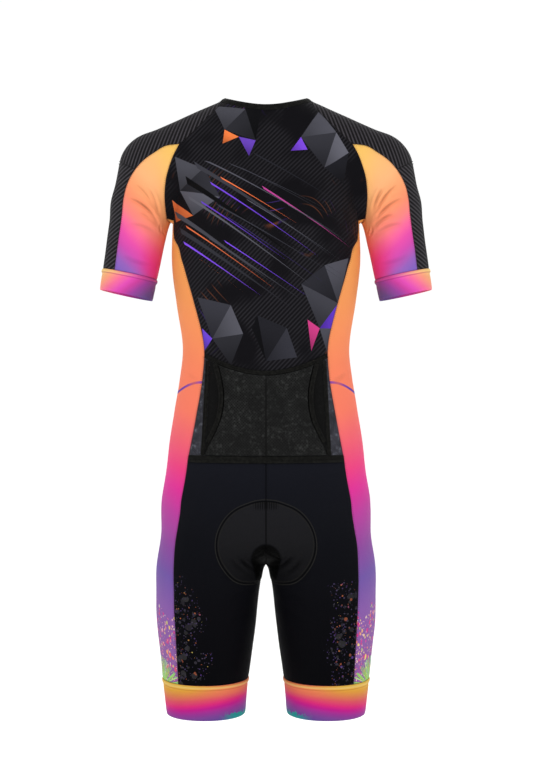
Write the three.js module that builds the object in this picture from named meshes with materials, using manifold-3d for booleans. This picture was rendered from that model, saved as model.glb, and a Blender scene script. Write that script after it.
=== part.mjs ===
// A short-sleeved triathlon suit in the form it takes when worn, with nobody in it. Millimetres.
// +X is the wearer's right, +Y is the way the wearer faces and +Z is up. The origin is the middle of
// the neck opening, level with the shoulders beside the neck, where the wearer carries the suit.
// Every panel is a thin wall on one smooth figure, cut along shared seams, so neighbours meet exactly.

import Module from "manifold-3d";
import * as THREE from "three";
import { mergeVertices } from "three/addons/utils/BufferGeometryUtils.js";

// Cloth and sewing.
const WALL = 1.2;
const SEAM_GAP = 0.3;
const LAYER_GAP = 0.6;

// Heights of the seams that run round the suit.
const WAIST = -570;
const POCKET_CORNER = -406;
const POCKET_CENTRE = -434.5;
const LEG_BAND_TOP = -916;
const LEG_HEM = -972;
const UNDERARM_BACK = -190;
const UNDERARM_FRONT = -172;

// Trunk sections, upwards: half width at the side line, then depth behind it and in front of it.
const TRUNK = [
  { height: -760, halfWidth: 148, back: 100, front: 84 },
  { height: -700, halfWidth: 169, back: 127, front: 91 },
  { height: -640, halfWidth: 167, back: 135, front: 95 },
  { height: -585, halfWidth: 158.5, back: 126, front: 96 },
  { height: -541, halfWidth: 153.5, back: 113, front: 97 },
  { height: -493, halfWidth: 146, back: 99, front: 99 },
  { height: -445, halfWidth: 138, back: 90, front: 100 },
  { height: -392, halfWidth: 133, back: 87, front: 101 },
  { height: -320, halfWidth: 143.5, back: 97, front: 107 },
  { height: -262, halfWidth: 150, back: 110, front: 113 },
  { height: -224, halfWidth: 150, back: 116, front: 114 },
  { height: -170, halfWidth: 146, back: 115, front: 107 },
  { height: -120, halfWidth: 136, back: 104, front: 90 },
  { height: -80, halfWidth: 110, back: 84, front: 62 },
  { height: -40, halfWidth: 62, back: 56, front: 28 },
];
const TRUNK_SQUARENESS = 2.3;
const TRUNK_BOTTOM = -726;
const TRUNK_TOP = -36;
const SIDE_LINE_Y = 0;

// Leg sections, upwards: the leg's middle, its half width, and its depth behind and in front.
const LEG = [
  { height: -990, middle: 95, halfWidth: 61, back: 62, front: 62 },
  { height: -973, middle: 95.3, halfWidth: 62.3, back: 64, front: 63.5 },
  { height: -925, middle: 96, halfWidth: 67, back: 71, front: 69 },
  { height: -877, middle: 95.2, halfWidth: 72.8, back: 79, front: 76.5 },
  { height: -829, middle: 94.5, halfWidth: 78.5, back: 87, front: 84 },
  { height: -781, middle: 92.7, halfWidth: 81.5, back: 95, front: 91 },
  { height: -733, middle: 89, halfWidth: 84, back: 101, front: 97 },
  { height: -690, middle: 84, halfWidth: 79, back: 98, front: 96 },
  { height: -640, middle: 76, halfWidth: 62, back: 80, front: 80 },
];
const LEG_SQUARENESS = 2.1;
const LEG_TOP = -650;
const LEG_MIDDLE_Y = -12;

// Round tapered limbs of the figure: a ball at each end and the cone between them.
const NECK = { from: [0, -30, -80], radiusFrom: 58, to: [0, -6, 60], radiusTo: 54 };
const SHOULDER = { from: [40, -16, -55], radiusFrom: 60, to: [168, -10, -108], radiusTo: 58 };
const UPPER_ARM = { from: [176, -8, -111], radiusFrom: 58.5, to: [198, -6, -170], radiusTo: 48 };
const LOWER_ARM = { from: [198, -6, -170], radiusFrom: 48, to: [226, -2, -325], radiusTo: 41.8 };

// How far one form of the figure runs softly into the next.
const BLEND = { shoulder: 34, neck: 26, arm: 9, elbow: 12, leg: 26, seat: 120, cap: 50 };

// The sleeve's middle line, a Bezier curve in the plane y = ARM_AXIS_Y, as x and height.
const ARM_AXIS = [[20, -68], [190, -62], [186, -150], [226, -330]];
const ARM_AXIS_Y = -8;
const CUFF_TOP_HEIGHT = -277;
const CUFF_HEM_HEIGHT = -310;

// How many straight steps each seam is drawn with.
const STEPS = {
  raglan: 5, armhole: 5, underarm: 6, sideUpper: 9, sideMiddle: 6, sideLeg: 18,
  halfWidth: 8, overArm: 6, shoulder: 4, sleeve: 6, cuff: 3, legBand: 4, centreSeam: 10,
  padLength: 16, padWidth: 4,
};

// Seams seen square from behind and from in front: distance out from the middle, and height.
const RAGLAN_BACK = [
  { out: 75.5, height: -18 }, { out: 103.5, height: -49 }, { out: 125, height: -71 },
  { out: 134.6, height: -79 },
];
const ARMHOLE_BACK = [
  { out: 134.6, height: -79 }, { out: 144, height: -97.5 }, { out: 151, height: -116.5 },
  { out: 156, height: -135 }, { out: 158.5, height: -160 }, { out: 156.6, height: UNDERARM_BACK },
];
const RAGLAN_FRONT = [{ out: 93, height: -66 }, { out: 126, height: -98 }];
const ARMHOLE_FRONT = [
  { out: 126, height: -98 }, { out: 136, height: -122 }, { out: 142, height: -147 },
  { out: 144.5, height: UNDERARM_FRONT },
];
const SLEEVE_BACK = [
  { out: 134.6, height: -79 }, { out: 156.5, height: -81.6 }, { out: 175, height: -92.6 },
  { out: 189, height: -102.5 }, { out: 201, height: -114 }, { out: 211.4, height: -127.4 },
  { out: 219, height: -143 }, { out: 223.3, height: -161.6 }, { out: 225.5, height: -183 },
  { out: 228.5, height: -205 }, { out: 232, height: -228 }, { out: 238, height: -272 },
];
const SLEEVE_FRONT = [
  { out: 126, height: -98 }, { out: 150, height: -97 }, { out: 172, height: -102 },
  { out: 189, height: -110 }, { out: 201, height: -120 }, { out: 211, height: -132 },
  { out: 219, height: -146 }, { out: 223.5, height: -163 }, { out: 225.5, height: -183 },
  { out: 228.5, height: -205 }, { out: 232, height: -228 }, { out: 238, height: -272 },
];
const YOKE_SEAM_HEIGHT = -117;

// The armhole under the arm, seen from below: distance out and distance forward.
const UNDERARM = [
  { out: 154, forward: -18 }, { out: 152.5, forward: -9 }, { out: 152, forward: 0 },
  { out: 151.5, forward: 9 }, { out: 150, forward: 17 },
];

// How far out the side panel's two long seams lie, upwards.
const SIDE_SEAMS = [
  { height: -916, back: 136, front: 131 },
  { height: -855, back: 138.8, front: 134 },
  { height: -799, back: 141.3, front: 136 },
  { height: -747, back: 142, front: 136 },
  { height: -700, back: 140, front: 134 },
  { height: -628, back: 129.3, front: 128 },
  { height: -570, back: 120.6, front: 122 },
  { height: -508, back: 109.4, front: 113 },
  { height: -451, back: 99.8, front: 105 },
  { height: -406, back: 96, front: 103 },
  { height: -383, back: 97.6, front: 104.5 },
  { height: -350, back: 105.3, front: 110 },
  { height: -290, back: 121.7, front: 123 },
  { height: -226, back: 141.3, front: 135 },
  { height: -191, back: 156.5, front: 143.5 },
  { height: -172, back: 160, front: 144.5 },
];

// The neck seam's height behind, at the sides and in front, and its corners as angles from behind.
const NECK_SEAM = { back: -27, side: -2, front: -85, hollow: 1.6 };
const NECK_AXIS_Y = -12;
const NECK_CORNERS = { back: 75, front: 122, zip: 172.5 };
const NECK_BINDING_WIDTH = 8;

// The pocket on the lower back: its lining's sides and its front's curved mouths, downwards.
const POCKET_SIDE = [{ height: -412, out: 89.5 }, { height: -480, out: 92.5 }, { height: -560, out: 96 }];
const POCKET_MOUTH = [
  { height: -412, out: 79 }, { height: -424, out: 76 }, { height: -452, out: 69.5 },
  { height: -478, out: 67.5 }, { height: -506, out: 72 }, { height: -530, out: 82 },
  { height: -545, out: 90 }, { height: -560, out: 96 },
];
const POCKET = {
  liningWall: 1, liningLift: 1.5, frontLift: 3.4, frontFlare: 1.6, mouthInset: 4.8, mouthBindingEnd: -541,
};
const BINDING = { halfWidth: 3.6, edge: 1.6, crown: 2.3, wall: 1.2 };
const POCKET_BINDING_BELOW = 4.2;
const WAIST_TAPE = { height: -566, halfWidth: 5.6 };

// The pad sewn inside the seat, seen from a middle inside each thigh: the angle runs from behind (0)
// by below (90) to the front (180), and aside is the angle out from the upright plane through it.
const PAD_MIDDLE = [45, -12, -655];
const PAD_EDGE = [
  { angle: -12, aside: -9.5 }, { angle: -3, aside: 4 }, { angle: 8, aside: 12 },
  { angle: 22, aside: 15.5 }, { angle: 37, aside: 11.5 }, { angle: 47, aside: 5 },
  { angle: 56, aside: -3 }, { angle: 68, aside: -11 }, { angle: 90, aside: -15 },
  { angle: 116, aside: -11 }, { angle: 136, aside: -5 }, { angle: 154, aside: -4 },
  { angle: 170, aside: -9 }, { angle: 178, aside: -14 },
];
const PAD = { under: 3.9, wall: 5 };

// Front zip: the tape, the raised chain, the slider and its pull tab.
const CHAIN = { halfWidth: 2.4, shoulder: 0.6, height: 1.4 };
const SLIDER = { below: 22, length: 12, width: 9, endWidth: 6.6, above: 2, thickness: 2.2 };
const BRIDGE = { width: 3, reach: 2.4, leg: 1.3, eye: 1.8, strap: 1 };
const PULL = { length: 25, width: 7, endWidth: 5.4, thickness: 1.2, bar: 0.6, slot: 3.6, slotWidth: 4.4 };
const RUNNING_GAP = 0.3;

const clamp = (value, low, high) => Math.min(Math.max(value, low), high);
const mix = (a, b, share) => a + (b - a) * share;
const radians = THREE.MathUtils.degToRad;
const degrees = THREE.MathUtils.radToDeg;
const steps = (count) => Array.from({ length: count + 1 }, (_, i) => i / count);

// A smooth curve through a table's rows. Its first column is the place, and the rest are read there.
function smoothTable(rows) {
  const names = Object.keys(rows[0]);
  const places = rows.map((row) => row[names[0]]);
  const last = places.length - 1;
  const columns = names.slice(1).map((name) => rows.map((row) => row[name]));
  const slopes = columns.map((column) =>
    column.map((_, i) => {
      const before = Math.max(i - 1, 0);
      const after = Math.min(i + 1, last);
      return (column[after] - column[before]) / (places[after] - places[before]);
    }),
  );
  return (place) => {
    const at = clamp(place, places[0], places[last]);
    let i = 0;
    while (i < last - 1 && at > places[i + 1]) i += 1;
    const span = places[i + 1] - places[i];
    const s = (at - places[i]) / span;
    const rise = s * s * (3 - 2 * s);
    const leave = s * (1 - s) * (1 - s) * span;
    const arrive = s * s * (s - 1) * span;
    return columns.map(
      (column, k) =>
        mix(column[i], column[i + 1], rise) + leave * slopes[k][i] + arrive * slopes[k][i + 1],
    );
  };
}

// The same, for a line through points given as rows, read by the share of its length.
function smoothLine(rows) {
  const names = Object.keys(rows[0]);
  let length = 0;
  const places = rows.map((row, i) => {
    if (i > 0) length += Math.hypot(...names.map((name) => row[name] - rows[i - 1][name]));
    return { at: length, ...row };
  });
  const read = smoothTable(places);
  return (share) => read(share * length);
}

// Joins two forms of the figure with a soft fillet, or keeps only what both share.
function join(a, b, reach) {
  const near = Math.max(reach - Math.abs(a - b), 0) / reach;
  return Math.min(a, b) - (near ** 3 * reach) / 6;
}
const keepBoth = (a, b, reach) => -join(-a, -b, reach);

// How far a point lies outside a flattened round section, along the ray from its middle.
function outsideSection(x, y, halfWidth, depth, squareness) {
  const share = Math.hypot(x, y) || 1e-6;
  const ratio = (Math.abs(x / halfWidth) ** squareness + Math.abs(y / depth) ** squareness) ** (1 / squareness);
  return share - share / Math.max(ratio, 1e-9);
}

const trunkAt = smoothTable(TRUNK);
function outsideTrunk(x, y, z) {
  const [halfWidth, back, front] = trunkAt(z);
  const across = y - SIDE_LINE_Y;
  const round = outsideSection(x, across, halfWidth, across < 0 ? back : front, TRUNK_SQUARENESS);
  return keepBoth(keepBoth(round, TRUNK_BOTTOM - z, BLEND.seat), z - TRUNK_TOP, BLEND.neck);
}

const legAt = smoothTable(LEG);
function outsideLeg(x, y, z, side) {
  const [middle, halfWidth, back, front] = legAt(z);
  const across = y - LEG_MIDDLE_Y;
  const depth = across < 0 ? back : front;
  const round = outsideSection(x - side * middle, across, halfWidth, depth, LEG_SQUARENESS);
  return keepBoth(round, z - LEG_TOP, BLEND.cap);
}

// How far a point lies outside a tapered limb with ball ends. side mirrors it to the wearer's left.
function outsideLimb(x, y, z, side, { from, radiusFrom, to, radiusTo }) {
  const along = to.map((value, i) => value - from[i]);
  const point = [side * x - from[0], y - from[1], z - from[2]];
  const dot = (a, b) => a[0] * b[0] + a[1] * b[1] + a[2] * b[2];
  const length2 = dot(along, along);
  const taper = radiusFrom - radiusTo;
  const run2 = length2 - taper * taper;
  const reach = dot(point, along);
  const beyond = reach - length2;
  const aside = point.map((value, i) => value * length2 - along[i] * reach);
  const aside2 = dot(aside, aside);
  const limit = Math.sign(taper) * taper * taper * aside2;
  if (Math.sign(beyond) * run2 * beyond * beyond * length2 > limit)
    return Math.sqrt(aside2 + beyond * beyond * length2) / length2 - radiusTo;
  if (Math.sign(reach) * run2 * reach * reach * length2 < limit)
    return Math.sqrt(aside2 + reach * reach * length2) / length2 - radiusFrom;
  return (Math.sqrt((aside2 * run2) / length2) + reach * taper) / length2 - radiusFrom;
}

// The whole figure that the cloth lies on: below zero inside, above zero outside.
function outsideFigure(x, y, z) {
  let value = outsideTrunk(x, y, z);
  for (const side of [1, -1]) value = join(value, outsideLimb(x, y, z, side, SHOULDER), BLEND.shoulder);
  value = join(value, outsideLimb(x, y, z, 1, NECK), BLEND.neck);
  const side = x < 0 ? -1 : 1;
  const arm = join(
    outsideLimb(x, y, z, side, UPPER_ARM), outsideLimb(x, y, z, side, LOWER_ARM), BLEND.elbow);
  value = join(value, arm, BLEND.arm);
  const legs = join(outsideLeg(x, y, z, 1), outsideLeg(x, y, z, -1), BLEND.leg);
  return join(value, legs, BLEND.leg);
}

const outside = (point) => outsideFigure(point.x, point.y, point.z);
const PROBE = 0.5;
function outwardNormal({ x, y, z }) {
  return new THREE.Vector3(
    outsideFigure(x + PROBE, y, z) - outsideFigure(x - PROBE, y, z),
    outsideFigure(x, y + PROBE, z) - outsideFigure(x, y - PROBE, z),
    outsideFigure(x, y, z + PROBE) - outsideFigure(x, y, z - PROBE),
  ).normalize();
}

// Walks from start along a direction to where the figure's surface is crossed.
const STRIDE = 5;
function cross(start, direction, reach = 400) {
  const place = (distance) => start.clone().addScaledVector(direction, distance);
  const inside = outside(start) < 0;
  let near = 0;
  let far = STRIDE;
  while (outside(place(far)) < 0 === inside) {
    near = far;
    far += STRIDE;
    if (far > reach) throw new Error(`no surface from ${start.toArray()} along ${direction.toArray()}`);
  }
  for (let i = 0; i < 22; i += 1) {
    const middle = (near + far) / 2;
    if (outside(place(middle)) < 0 === inside) near = middle;
    else far = middle;
  }
  return place((near + far) / 2);
}

const vector = (x, y, z) => new THREE.Vector3(x, y, z);
const FAR_OFF = 260;
const fromBehind = (out, height) => cross(vector(out, -FAR_OFF, height), vector(0, 1, 0));
const fromInFront = (out, height) => cross(vector(out, FAR_OFF, height), vector(0, -1, 0));
const mirrored = ({ x, y, z }) => vector(-x, y, z);

// A carrier names a point of the cloth by an angle round an axis and a place along it, and finds the
// point again. Angles run from behind (0) by the wearer's right (90) to the front (180).
const near = (angle, centre) => centre + ((((angle - centre + 180) % 360) + 360) % 360) - 180;
function uprightCarrier(axisX, centre) {
  return {
    name: ({ x, y, z }) => [near(degrees(Math.atan2(x - axisX(z), LEG_MIDDLE_Y - y)), centre), z],
    find: ([angle, z]) => {
      const a = radians(angle);
      return cross(vector(axisX(z), LEG_MIDDLE_Y, z), vector(Math.sin(a), -Math.cos(a), 0));
    },
  };
}
const LEG_AXIS = { out: 94, from: -450, to: -733 };
const trunkAxis = () => 0;
function legAxis(z) {
  return LEG_AXIS.out * THREE.MathUtils.smoothstep(LEG_AXIS.from - z, 0, LEG_AXIS.from - LEG_AXIS.to);
}

// The sleeve's carrier: the angle is 0 on top of the arm, -90 behind and 180 under it.
function armAxis(t) {
  const s = 1 - t;
  const weights = [s ** 3, 3 * s * s * t, 3 * s * t * t, t ** 3];
  const [x, z] = [0, 1].map((k) => weights.reduce((sum, w, i) => sum + w * ARM_AXIS[i][k], 0));
  return vector(x, ARM_AXIS_Y, z);
}
function armOutward(t) {
  const along = armAxis(t + 1e-4).sub(armAxis(t - 1e-4)).normalize();
  return vector(-along.z, 0, along.x);
}
function armPlace(point) {
  let [low, high] = [-0.1, 1.1];
  const ahead = (t) => {
    const outward = armOutward(t);
    return vector(outward.z, 0, -outward.x).dot(point.clone().sub(armAxis(t)));
  };
  for (let i = 0; i < 40; i += 1) {
    const middle = (low + high) / 2;
    if (ahead(middle) > 0) low = middle;
    else high = middle;
  }
  return (low + high) / 2;
}
function armCarrier(centre) {
  return {
    name: (point) => {
      const t = armPlace(point);
      const arm = point.clone().sub(armAxis(t));
      return [near(degrees(Math.atan2(arm.y, arm.dot(armOutward(t)))), centre), t];
    },
    find: ([angle, t]) => {
      const a = radians(angle);
      const direction = armOutward(t).multiplyScalar(Math.cos(a)).add(vector(0, Math.sin(a), 0));
      return cross(armAxis(t), direction);
    },
  };
}
const overArm = armCarrier(0);
const underArm = armCarrier(180);
const behind = uprightCarrier(trunkAxis, 0);
const inFront = uprightCarrier(trunkAxis, 180);
const legBehind = uprightCarrier(legAxis, 0);
const legInFront = uprightCarrier(legAxis, 180);
const besideBody = uprightCarrier(legAxis, 90);

// The points of a seam, from its shares of length.
const seam = (count, find) => steps(count).map(find);
const drawn = (rows, count, find) => {
  const line = smoothLine(rows);
  return seam(count, (share) => find(...line(share)));
};
const joined = (...seams) => seams.reduce((whole, next) => [...whole, ...next.slice(1)]);

function neckPoint(angle) {
  const a = radians(angle);
  const end = Math.cos(a) > 0 ? NECK_SEAM.back : NECK_SEAM.front;
  const height = mix(NECK_SEAM.side, end, Math.abs(Math.cos(a)) ** NECK_SEAM.hollow);
  return cross(vector(0, NECK_AXIS_Y, height), vector(Math.sin(a), -Math.cos(a), 0));
}
const neckSeam = (from, to, count) => seam(count, (share) => neckPoint(mix(from, to, share)));

// Seams of the right half, each from its upper or inner end.
const neckBack = neckSeam(0, NECK_CORNERS.back, STEPS.halfWidth);
const neckYoke = neckSeam(NECK_CORNERS.back, NECK_CORNERS.front, STEPS.overArm);
const neckFront = neckSeam(NECK_CORNERS.front, NECK_CORNERS.zip, STEPS.halfWidth);
const startingAt = ({ x, z }, rows) => [{ out: x, height: z }, ...rows];
const exactEnds = (points, first, last) => {
  if (first) points[0] = first;
  if (last) points[points.length - 1] = last;
  return points;
};
const raglanBack = exactEnds(
  drawn(startingAt(neckBack.at(-1), RAGLAN_BACK), STEPS.raglan, fromBehind), neckBack.at(-1));
const raglanFront = exactEnds(
  drawn(startingAt(neckYoke.at(-1), RAGLAN_FRONT), STEPS.raglan, fromInFront), neckYoke.at(-1));
const armholeBack = exactEnds(drawn(ARMHOLE_BACK, STEPS.armhole, fromBehind), raglanBack.at(-1));
const armholeFront = exactEnds(drawn(ARMHOLE_FRONT, STEPS.armhole, fromInFront), raglanFront.at(-1));

const sideSeams = smoothTable(SIDE_SEAMS);
const sideBack = (from, to, count) =>
  seam(count, (share) => fromBehind(sideSeams(mix(from, to, share))[0], mix(from, to, share)));
const sideFront = (from, to, count) =>
  seam(count, (share) => fromInFront(sideSeams(mix(from, to, share))[1], mix(from, to, share)));
const sideBackUpper = exactEnds(
  sideBack(UNDERARM_BACK, POCKET_CORNER, STEPS.sideUpper), armholeBack.at(-1));
const sideFrontUpper = exactEnds(
  sideFront(UNDERARM_FRONT, POCKET_CORNER, STEPS.sideUpper), armholeFront.at(-1));
const sideBackMiddle = sideBack(POCKET_CORNER, WAIST, STEPS.sideMiddle);
const sideFrontMiddle = sideFront(POCKET_CORNER, WAIST, STEPS.sideMiddle);
const sideBackLeg = sideBack(WAIST, LEG_BAND_TOP, STEPS.sideLeg);
const sideFrontLeg = sideFront(WAIST, LEG_BAND_TOP, STEPS.sideLeg);

// The armhole under the arm runs in the crease between sleeve and side.
const fromBelow = (out, forward) => cross(vector(out, forward, -330), vector(0, 0, 1));
const startOf = ({ x, y }) => ({ out: x, forward: y });
const underarm = exactEnds(
  drawn(
    [startOf(armholeBack.at(-1)), ...UNDERARM, startOf(armholeFront.at(-1))], STEPS.underarm, fromBelow),
  armholeBack.at(-1), armholeFront.at(-1));

// Sleeve seams.
const placeAtHeight = (height) => {
  let [low, high] = [0, 1];
  for (let i = 0; i < 40; i += 1) {
    const middle = (low + high) / 2;
    if (armAxis(middle).z > height) low = middle;
    else high = middle;
  }
  return low;
};
const CUFF_TOP = placeAtHeight(CUFF_TOP_HEIGHT);
const CUFF_HEM = placeAtHeight(CUFF_HEM_HEIGHT);
function sleeveSeam(rows, find) {
  const line = smoothLine(rows);
  const shareWhere = (reached) => {
    let [low, high] = [0, 1];
    for (let i = 0; i < 30; i += 1) {
      const middle = (low + high) / 2;
      if (reached(find(...line(middle)))) high = middle;
      else low = middle;
    }
    return low;
  };
  const yoke = shareWhere((point) => point.z < YOKE_SEAM_HEIGHT);
  const cuff = shareWhere((point) => armPlace(point) > CUFF_TOP);
  return {
    shoulder: seam(STEPS.shoulder, (share) => find(...line(mix(0, yoke, share)))),
    sleeve: seam(STEPS.sleeve, (share) => find(...line(mix(yoke, cuff, share)))),
  };
}
const sleeveBack = sleeveSeam(SLEEVE_BACK, fromBehind);
const sleeveFront = sleeveSeam(SLEEVE_FRONT, fromInFront);
sleeveBack.shoulder[0] = raglanBack.at(-1);
sleeveFront.shoulder[0] = raglanFront.at(-1);

// A seam straight across in a carrier's own terms, between two known points.
function across(carrier, from, to, count) {
  const [a, b] = [carrier.name(from), carrier.name(to)];
  const points = seam(count, (share) => carrier.find([mix(a[0], b[0], share), mix(a[1], b[1], share)]));
  return exactEnds(points, from, to);
}
const yokeSeam = across(
  overArm, sleeveBack.shoulder.at(-1), sleeveFront.shoulder.at(-1), STEPS.overArm);
const underSteps = 2 * STEPS.armhole + STEPS.underarm;
const [cuffBack, cuffFront] = [sleeveBack.sleeve.at(-1), sleeveFront.sleeve.at(-1)];
const cuffOver = across(overArm, cuffBack, cuffFront, STEPS.overArm);
const cuffUnder = (() => {
  const [from, to] = [underArm.name(cuffBack)[0], underArm.name(cuffFront)[0]];
  const points = seam(underSteps, (share) => underArm.find([mix(from, to, share), CUFF_TOP]));
  return exactEnds(points, cuffBack, cuffFront);
})();

// Seams across the body.
const pocketLine = seam(STEPS.halfWidth, (share) => {
  const corner = sideBackMiddle[0];
  if (share === 1) return corner;
  return fromBehind(corner.x * share, mix(POCKET_CENTRE, POCKET_CORNER, share ** 1.9));
});
const waistBack = across(behind, fromBehind(0, WAIST), sideBackMiddle.at(-1), STEPS.halfWidth);
const zipHalfWidth = neckFront.at(-1).x;
const waistFront = across(inFront, sideFrontMiddle.at(-1), fromInFront(zipHalfWidth, WAIST), STEPS.halfWidth);
const thighTop = across(inFront, sideFrontMiddle.at(-1), fromInFront(0, WAIST), STEPS.halfWidth);
const zipSteps = STEPS.raglan + STEPS.armhole + STEPS.sideUpper + STEPS.sideMiddle;
const zipEdge = exactEnds(
  seam(zipSteps, (share) => fromInFront(zipHalfWidth, mix(neckFront.at(-1).z, WAIST, share))),
  neckFront.at(-1), waistFront.at(-1));

// The centre seams of the shorts meet under the crotch, where the inseams start.
const CROTCH_MIDDLE = vector(0, LEG_MIDDLE_Y, -640);
function roundCrotch(start, count) {
  const arm = start.clone().sub(CROTCH_MIDDLE);
  const from = Math.atan2(-arm.z, Math.abs(arm.y));
  const forward = Math.sign(arm.y);
  const points = seam(count, (share) => {
    const angle = mix(from, Math.PI / 2, share);
    return cross(CROTCH_MIDDLE, vector(0, forward * Math.cos(angle), -Math.sin(angle)));
  });
  return exactEnds(points, start);
}
const centreBack = roundCrotch(waistBack[0], STEPS.centreSeam);
const centreFront = roundCrotch(thighTop.at(-1), STEPS.centreSeam);
const inseam = (() => {
  const top = centreBack.at(-1);
  const points = seam(STEPS.sideLeg - STEPS.centreSeam, (share) =>
    legInFront.find([270, mix(top.z - 1.5, LEG_BAND_TOP, share)]));
  return exactEnds(points, top);
})();
const bandBack = across(legBehind, inseam.at(-1), sideBackLeg.at(-1), STEPS.halfWidth);
const bandFront = across(legInFront, sideFrontLeg.at(-1), inseam.at(-1), STEPS.halfWidth);
const bandSide = across(besideBody, sideBackLeg.at(-1), sideFrontLeg.at(-1), STEPS.underarm);

// A grid of points on the figure between four seams, blended in the carrier's own terms.
function patch(carrier, top, bottom, left, right) {
  const [columns, rows] = [top.length - 1, left.length - 1];
  if (bottom.length - 1 !== columns || right.length - 1 !== rows) throw new Error("seams don't match");
  const names = [top, bottom, left, right].map((points) => points.map(carrier.name));
  return left.map((_, j) =>
    top.map((_, i) => {
      if (j === 0) return top[i];
      if (j === rows) return bottom[i];
      if (i === 0) return left[j];
      if (i === columns) return right[j];
      const [u, v] = [i / columns, j / rows];
      const name = [0, 1].map((k) => {
        const [t, b, l, r] = [names[0][i][k], names[1][i][k], names[2][j][k], names[3][j][k]];
        const corners = mix(
          mix(names[0][0][k], names[0][columns][k], u), mix(names[1][0][k], names[1][columns][k], u), v);
        return mix(t, b, v) + mix(l, r, u) - corners;
      });
      return carrier.find(name);
    }),
  );
}

// Draws an open edge of a grid in by half a seam gap, square to the edge.
function drawnIn(grid, ring) {
  const [rows, columns] = [grid.length - 1, grid[0].length - 1];
  const moved = grid.map((row) => row.map((point) => point.clone()));
  const pull = (j, i, inJ, inI, beforeJ, beforeI, afterJ, afterI) => {
    const along = grid[afterJ][afterI].clone().sub(grid[beforeJ][beforeI]).normalize();
    const inward = grid[inJ][inI].clone().sub(grid[j][i]);
    inward.addScaledVector(along, -inward.dot(along)).normalize();
    moved[j][i].addScaledVector(inward, SEAM_GAP / 2);
  };
  for (let i = 0; i <= columns; i += 1) {
    const before = Math.max(i - 1, 0);
    const after = Math.min(i + 1, columns);
    pull(0, i, 1, i, 0, before, 0, after);
    pull(rows, i, rows - 1, i, rows, before, rows, after);
  }
  if (ring) return moved;
  for (let j = 0; j <= rows; j += 1) {
    const before = Math.max(j - 1, 0);
    const after = Math.min(j + 1, rows);
    pull(j, 0, j, 1, before, 0, after, 0);
    pull(j, columns, j, columns - 1, before, columns, after, columns);
  }
  return moved;
}

// The point on the figure beside another, a distance off along a direction that skims the surface.
function beside(point, direction, distance) {
  const normal = outwardNormal(point);
  const flat = direction.clone().addScaledVector(normal, -direction.dot(normal)).normalize();
  const over = point.clone().addScaledVector(flat, distance).addScaledVector(normal, 9);
  return cross(over, normal.negate());
}

// A grid for a strip laid along a seam, as rows across it. reach lists how far each row lies aside.
function strip(points, reach) {
  const last = points.length - 1;
  const asides = points.map((point, i) => {
    const along = points[Math.min(i + 1, last)].clone().sub(points[Math.max(i - 1, 0)]);
    return outwardNormal(point).cross(along);
  });
  return reach.map((distance) =>
    points.map((point, i) => (distance === 0 ? point : beside(point, asides[i], distance))));
}
const bindingLift = (_, u, v) => mix(BINDING.edge, BINDING.crown, Math.sin(v * Math.PI));

// Gives a grid its wall: the outer skin, the inner skin and the rim, as one closed mesh.
// A ring's last column is its first again. lift(point, u, v) raises the outer skin off the figure.
function wallFrom(grid, { ring = false, lift = () => 0, wall = WALL } = {}) {
  const rows = grid.length - 1;
  const columns = grid[0].length - 1;
  const cut = drawnIn(grid, ring);
  const outer = cut.map((row, j) =>
    row.map((point, i) => {
      const normal = outwardNormal(grid[j][i]);
      const raised = lift(point, i / columns, j / rows);
      const thickness = typeof wall === "function" ? wall(i / columns, j / rows) : wall;
      return {
        out: point.clone().addScaledVector(normal, raised),
        in: point.clone().addScaledVector(normal, raised - thickness),
      };
    }),
  );
  const wide = ring ? columns : columns + 1;
  const positions = ["out", "in"].flatMap((skin) =>
    outer.flatMap((row) => row.slice(0, wide).flatMap((point) => point[skin].toArray())));
  const skinSize = (rows + 1) * wide;
  const index = (skin, j, i) => skin * skinSize + j * wide + (i % wide);
  const faces = [];
  const quad = (a, b, c, d) => faces.push(a, b, c, a, c, d);
  for (let j = 0; j < rows; j += 1) {
    for (let i = 0; i < columns; i += 1) {
      quad(index(0, j, i), index(0, j + 1, i), index(0, j + 1, i + 1), index(0, j, i + 1));
      quad(index(1, j, i), index(1, j, i + 1), index(1, j + 1, i + 1), index(1, j + 1, i));
    }
  }
  for (let i = 0; i < columns; i += 1) {
    quad(index(0, 0, i), index(0, 0, i + 1), index(1, 0, i + 1), index(1, 0, i));
    quad(index(0, rows, i + 1), index(0, rows, i), index(1, rows, i), index(1, rows, i + 1));
  }
  for (let j = 0; j < rows && !ring; j += 1) {
    quad(index(0, j + 1, 0), index(0, j, 0), index(1, j, 0), index(1, j + 1, 0));
    quad(index(0, j, columns), index(0, j + 1, columns), index(1, j + 1, columns), index(1, j, columns));
  }
  return closedGeometry(positions, faces);
}

// A geometry whose faces point outwards, whichever way round they were listed.
function closedGeometry(positions, faces) {
  let volume = 0;
  const corner = (k) => vector(...positions.slice(3 * k, 3 * k + 3));
  for (let f = 0; f < faces.length; f += 3) {
    volume += corner(faces[f]).dot(corner(faces[f + 1]).cross(corner(faces[f + 2])));
  }
  const turned = volume > 0 ? faces : faces.toReversed();
  const geometry = new THREE.BufferGeometry();
  geometry.setAttribute("position", new THREE.Float32BufferAttribute(positions, 3));
  geometry.setIndex(turned);
  geometry.computeVertexNormals();
  return geometry;
}

function mirrorGeometry(geometry) {
  const positions = Array.from(geometry.getAttribute("position").array);
  for (let i = 0; i < positions.length; i += 3) positions[i] *= -1;
  return closedGeometry(positions, Array.from(geometry.index.array).toReversed());
}

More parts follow.
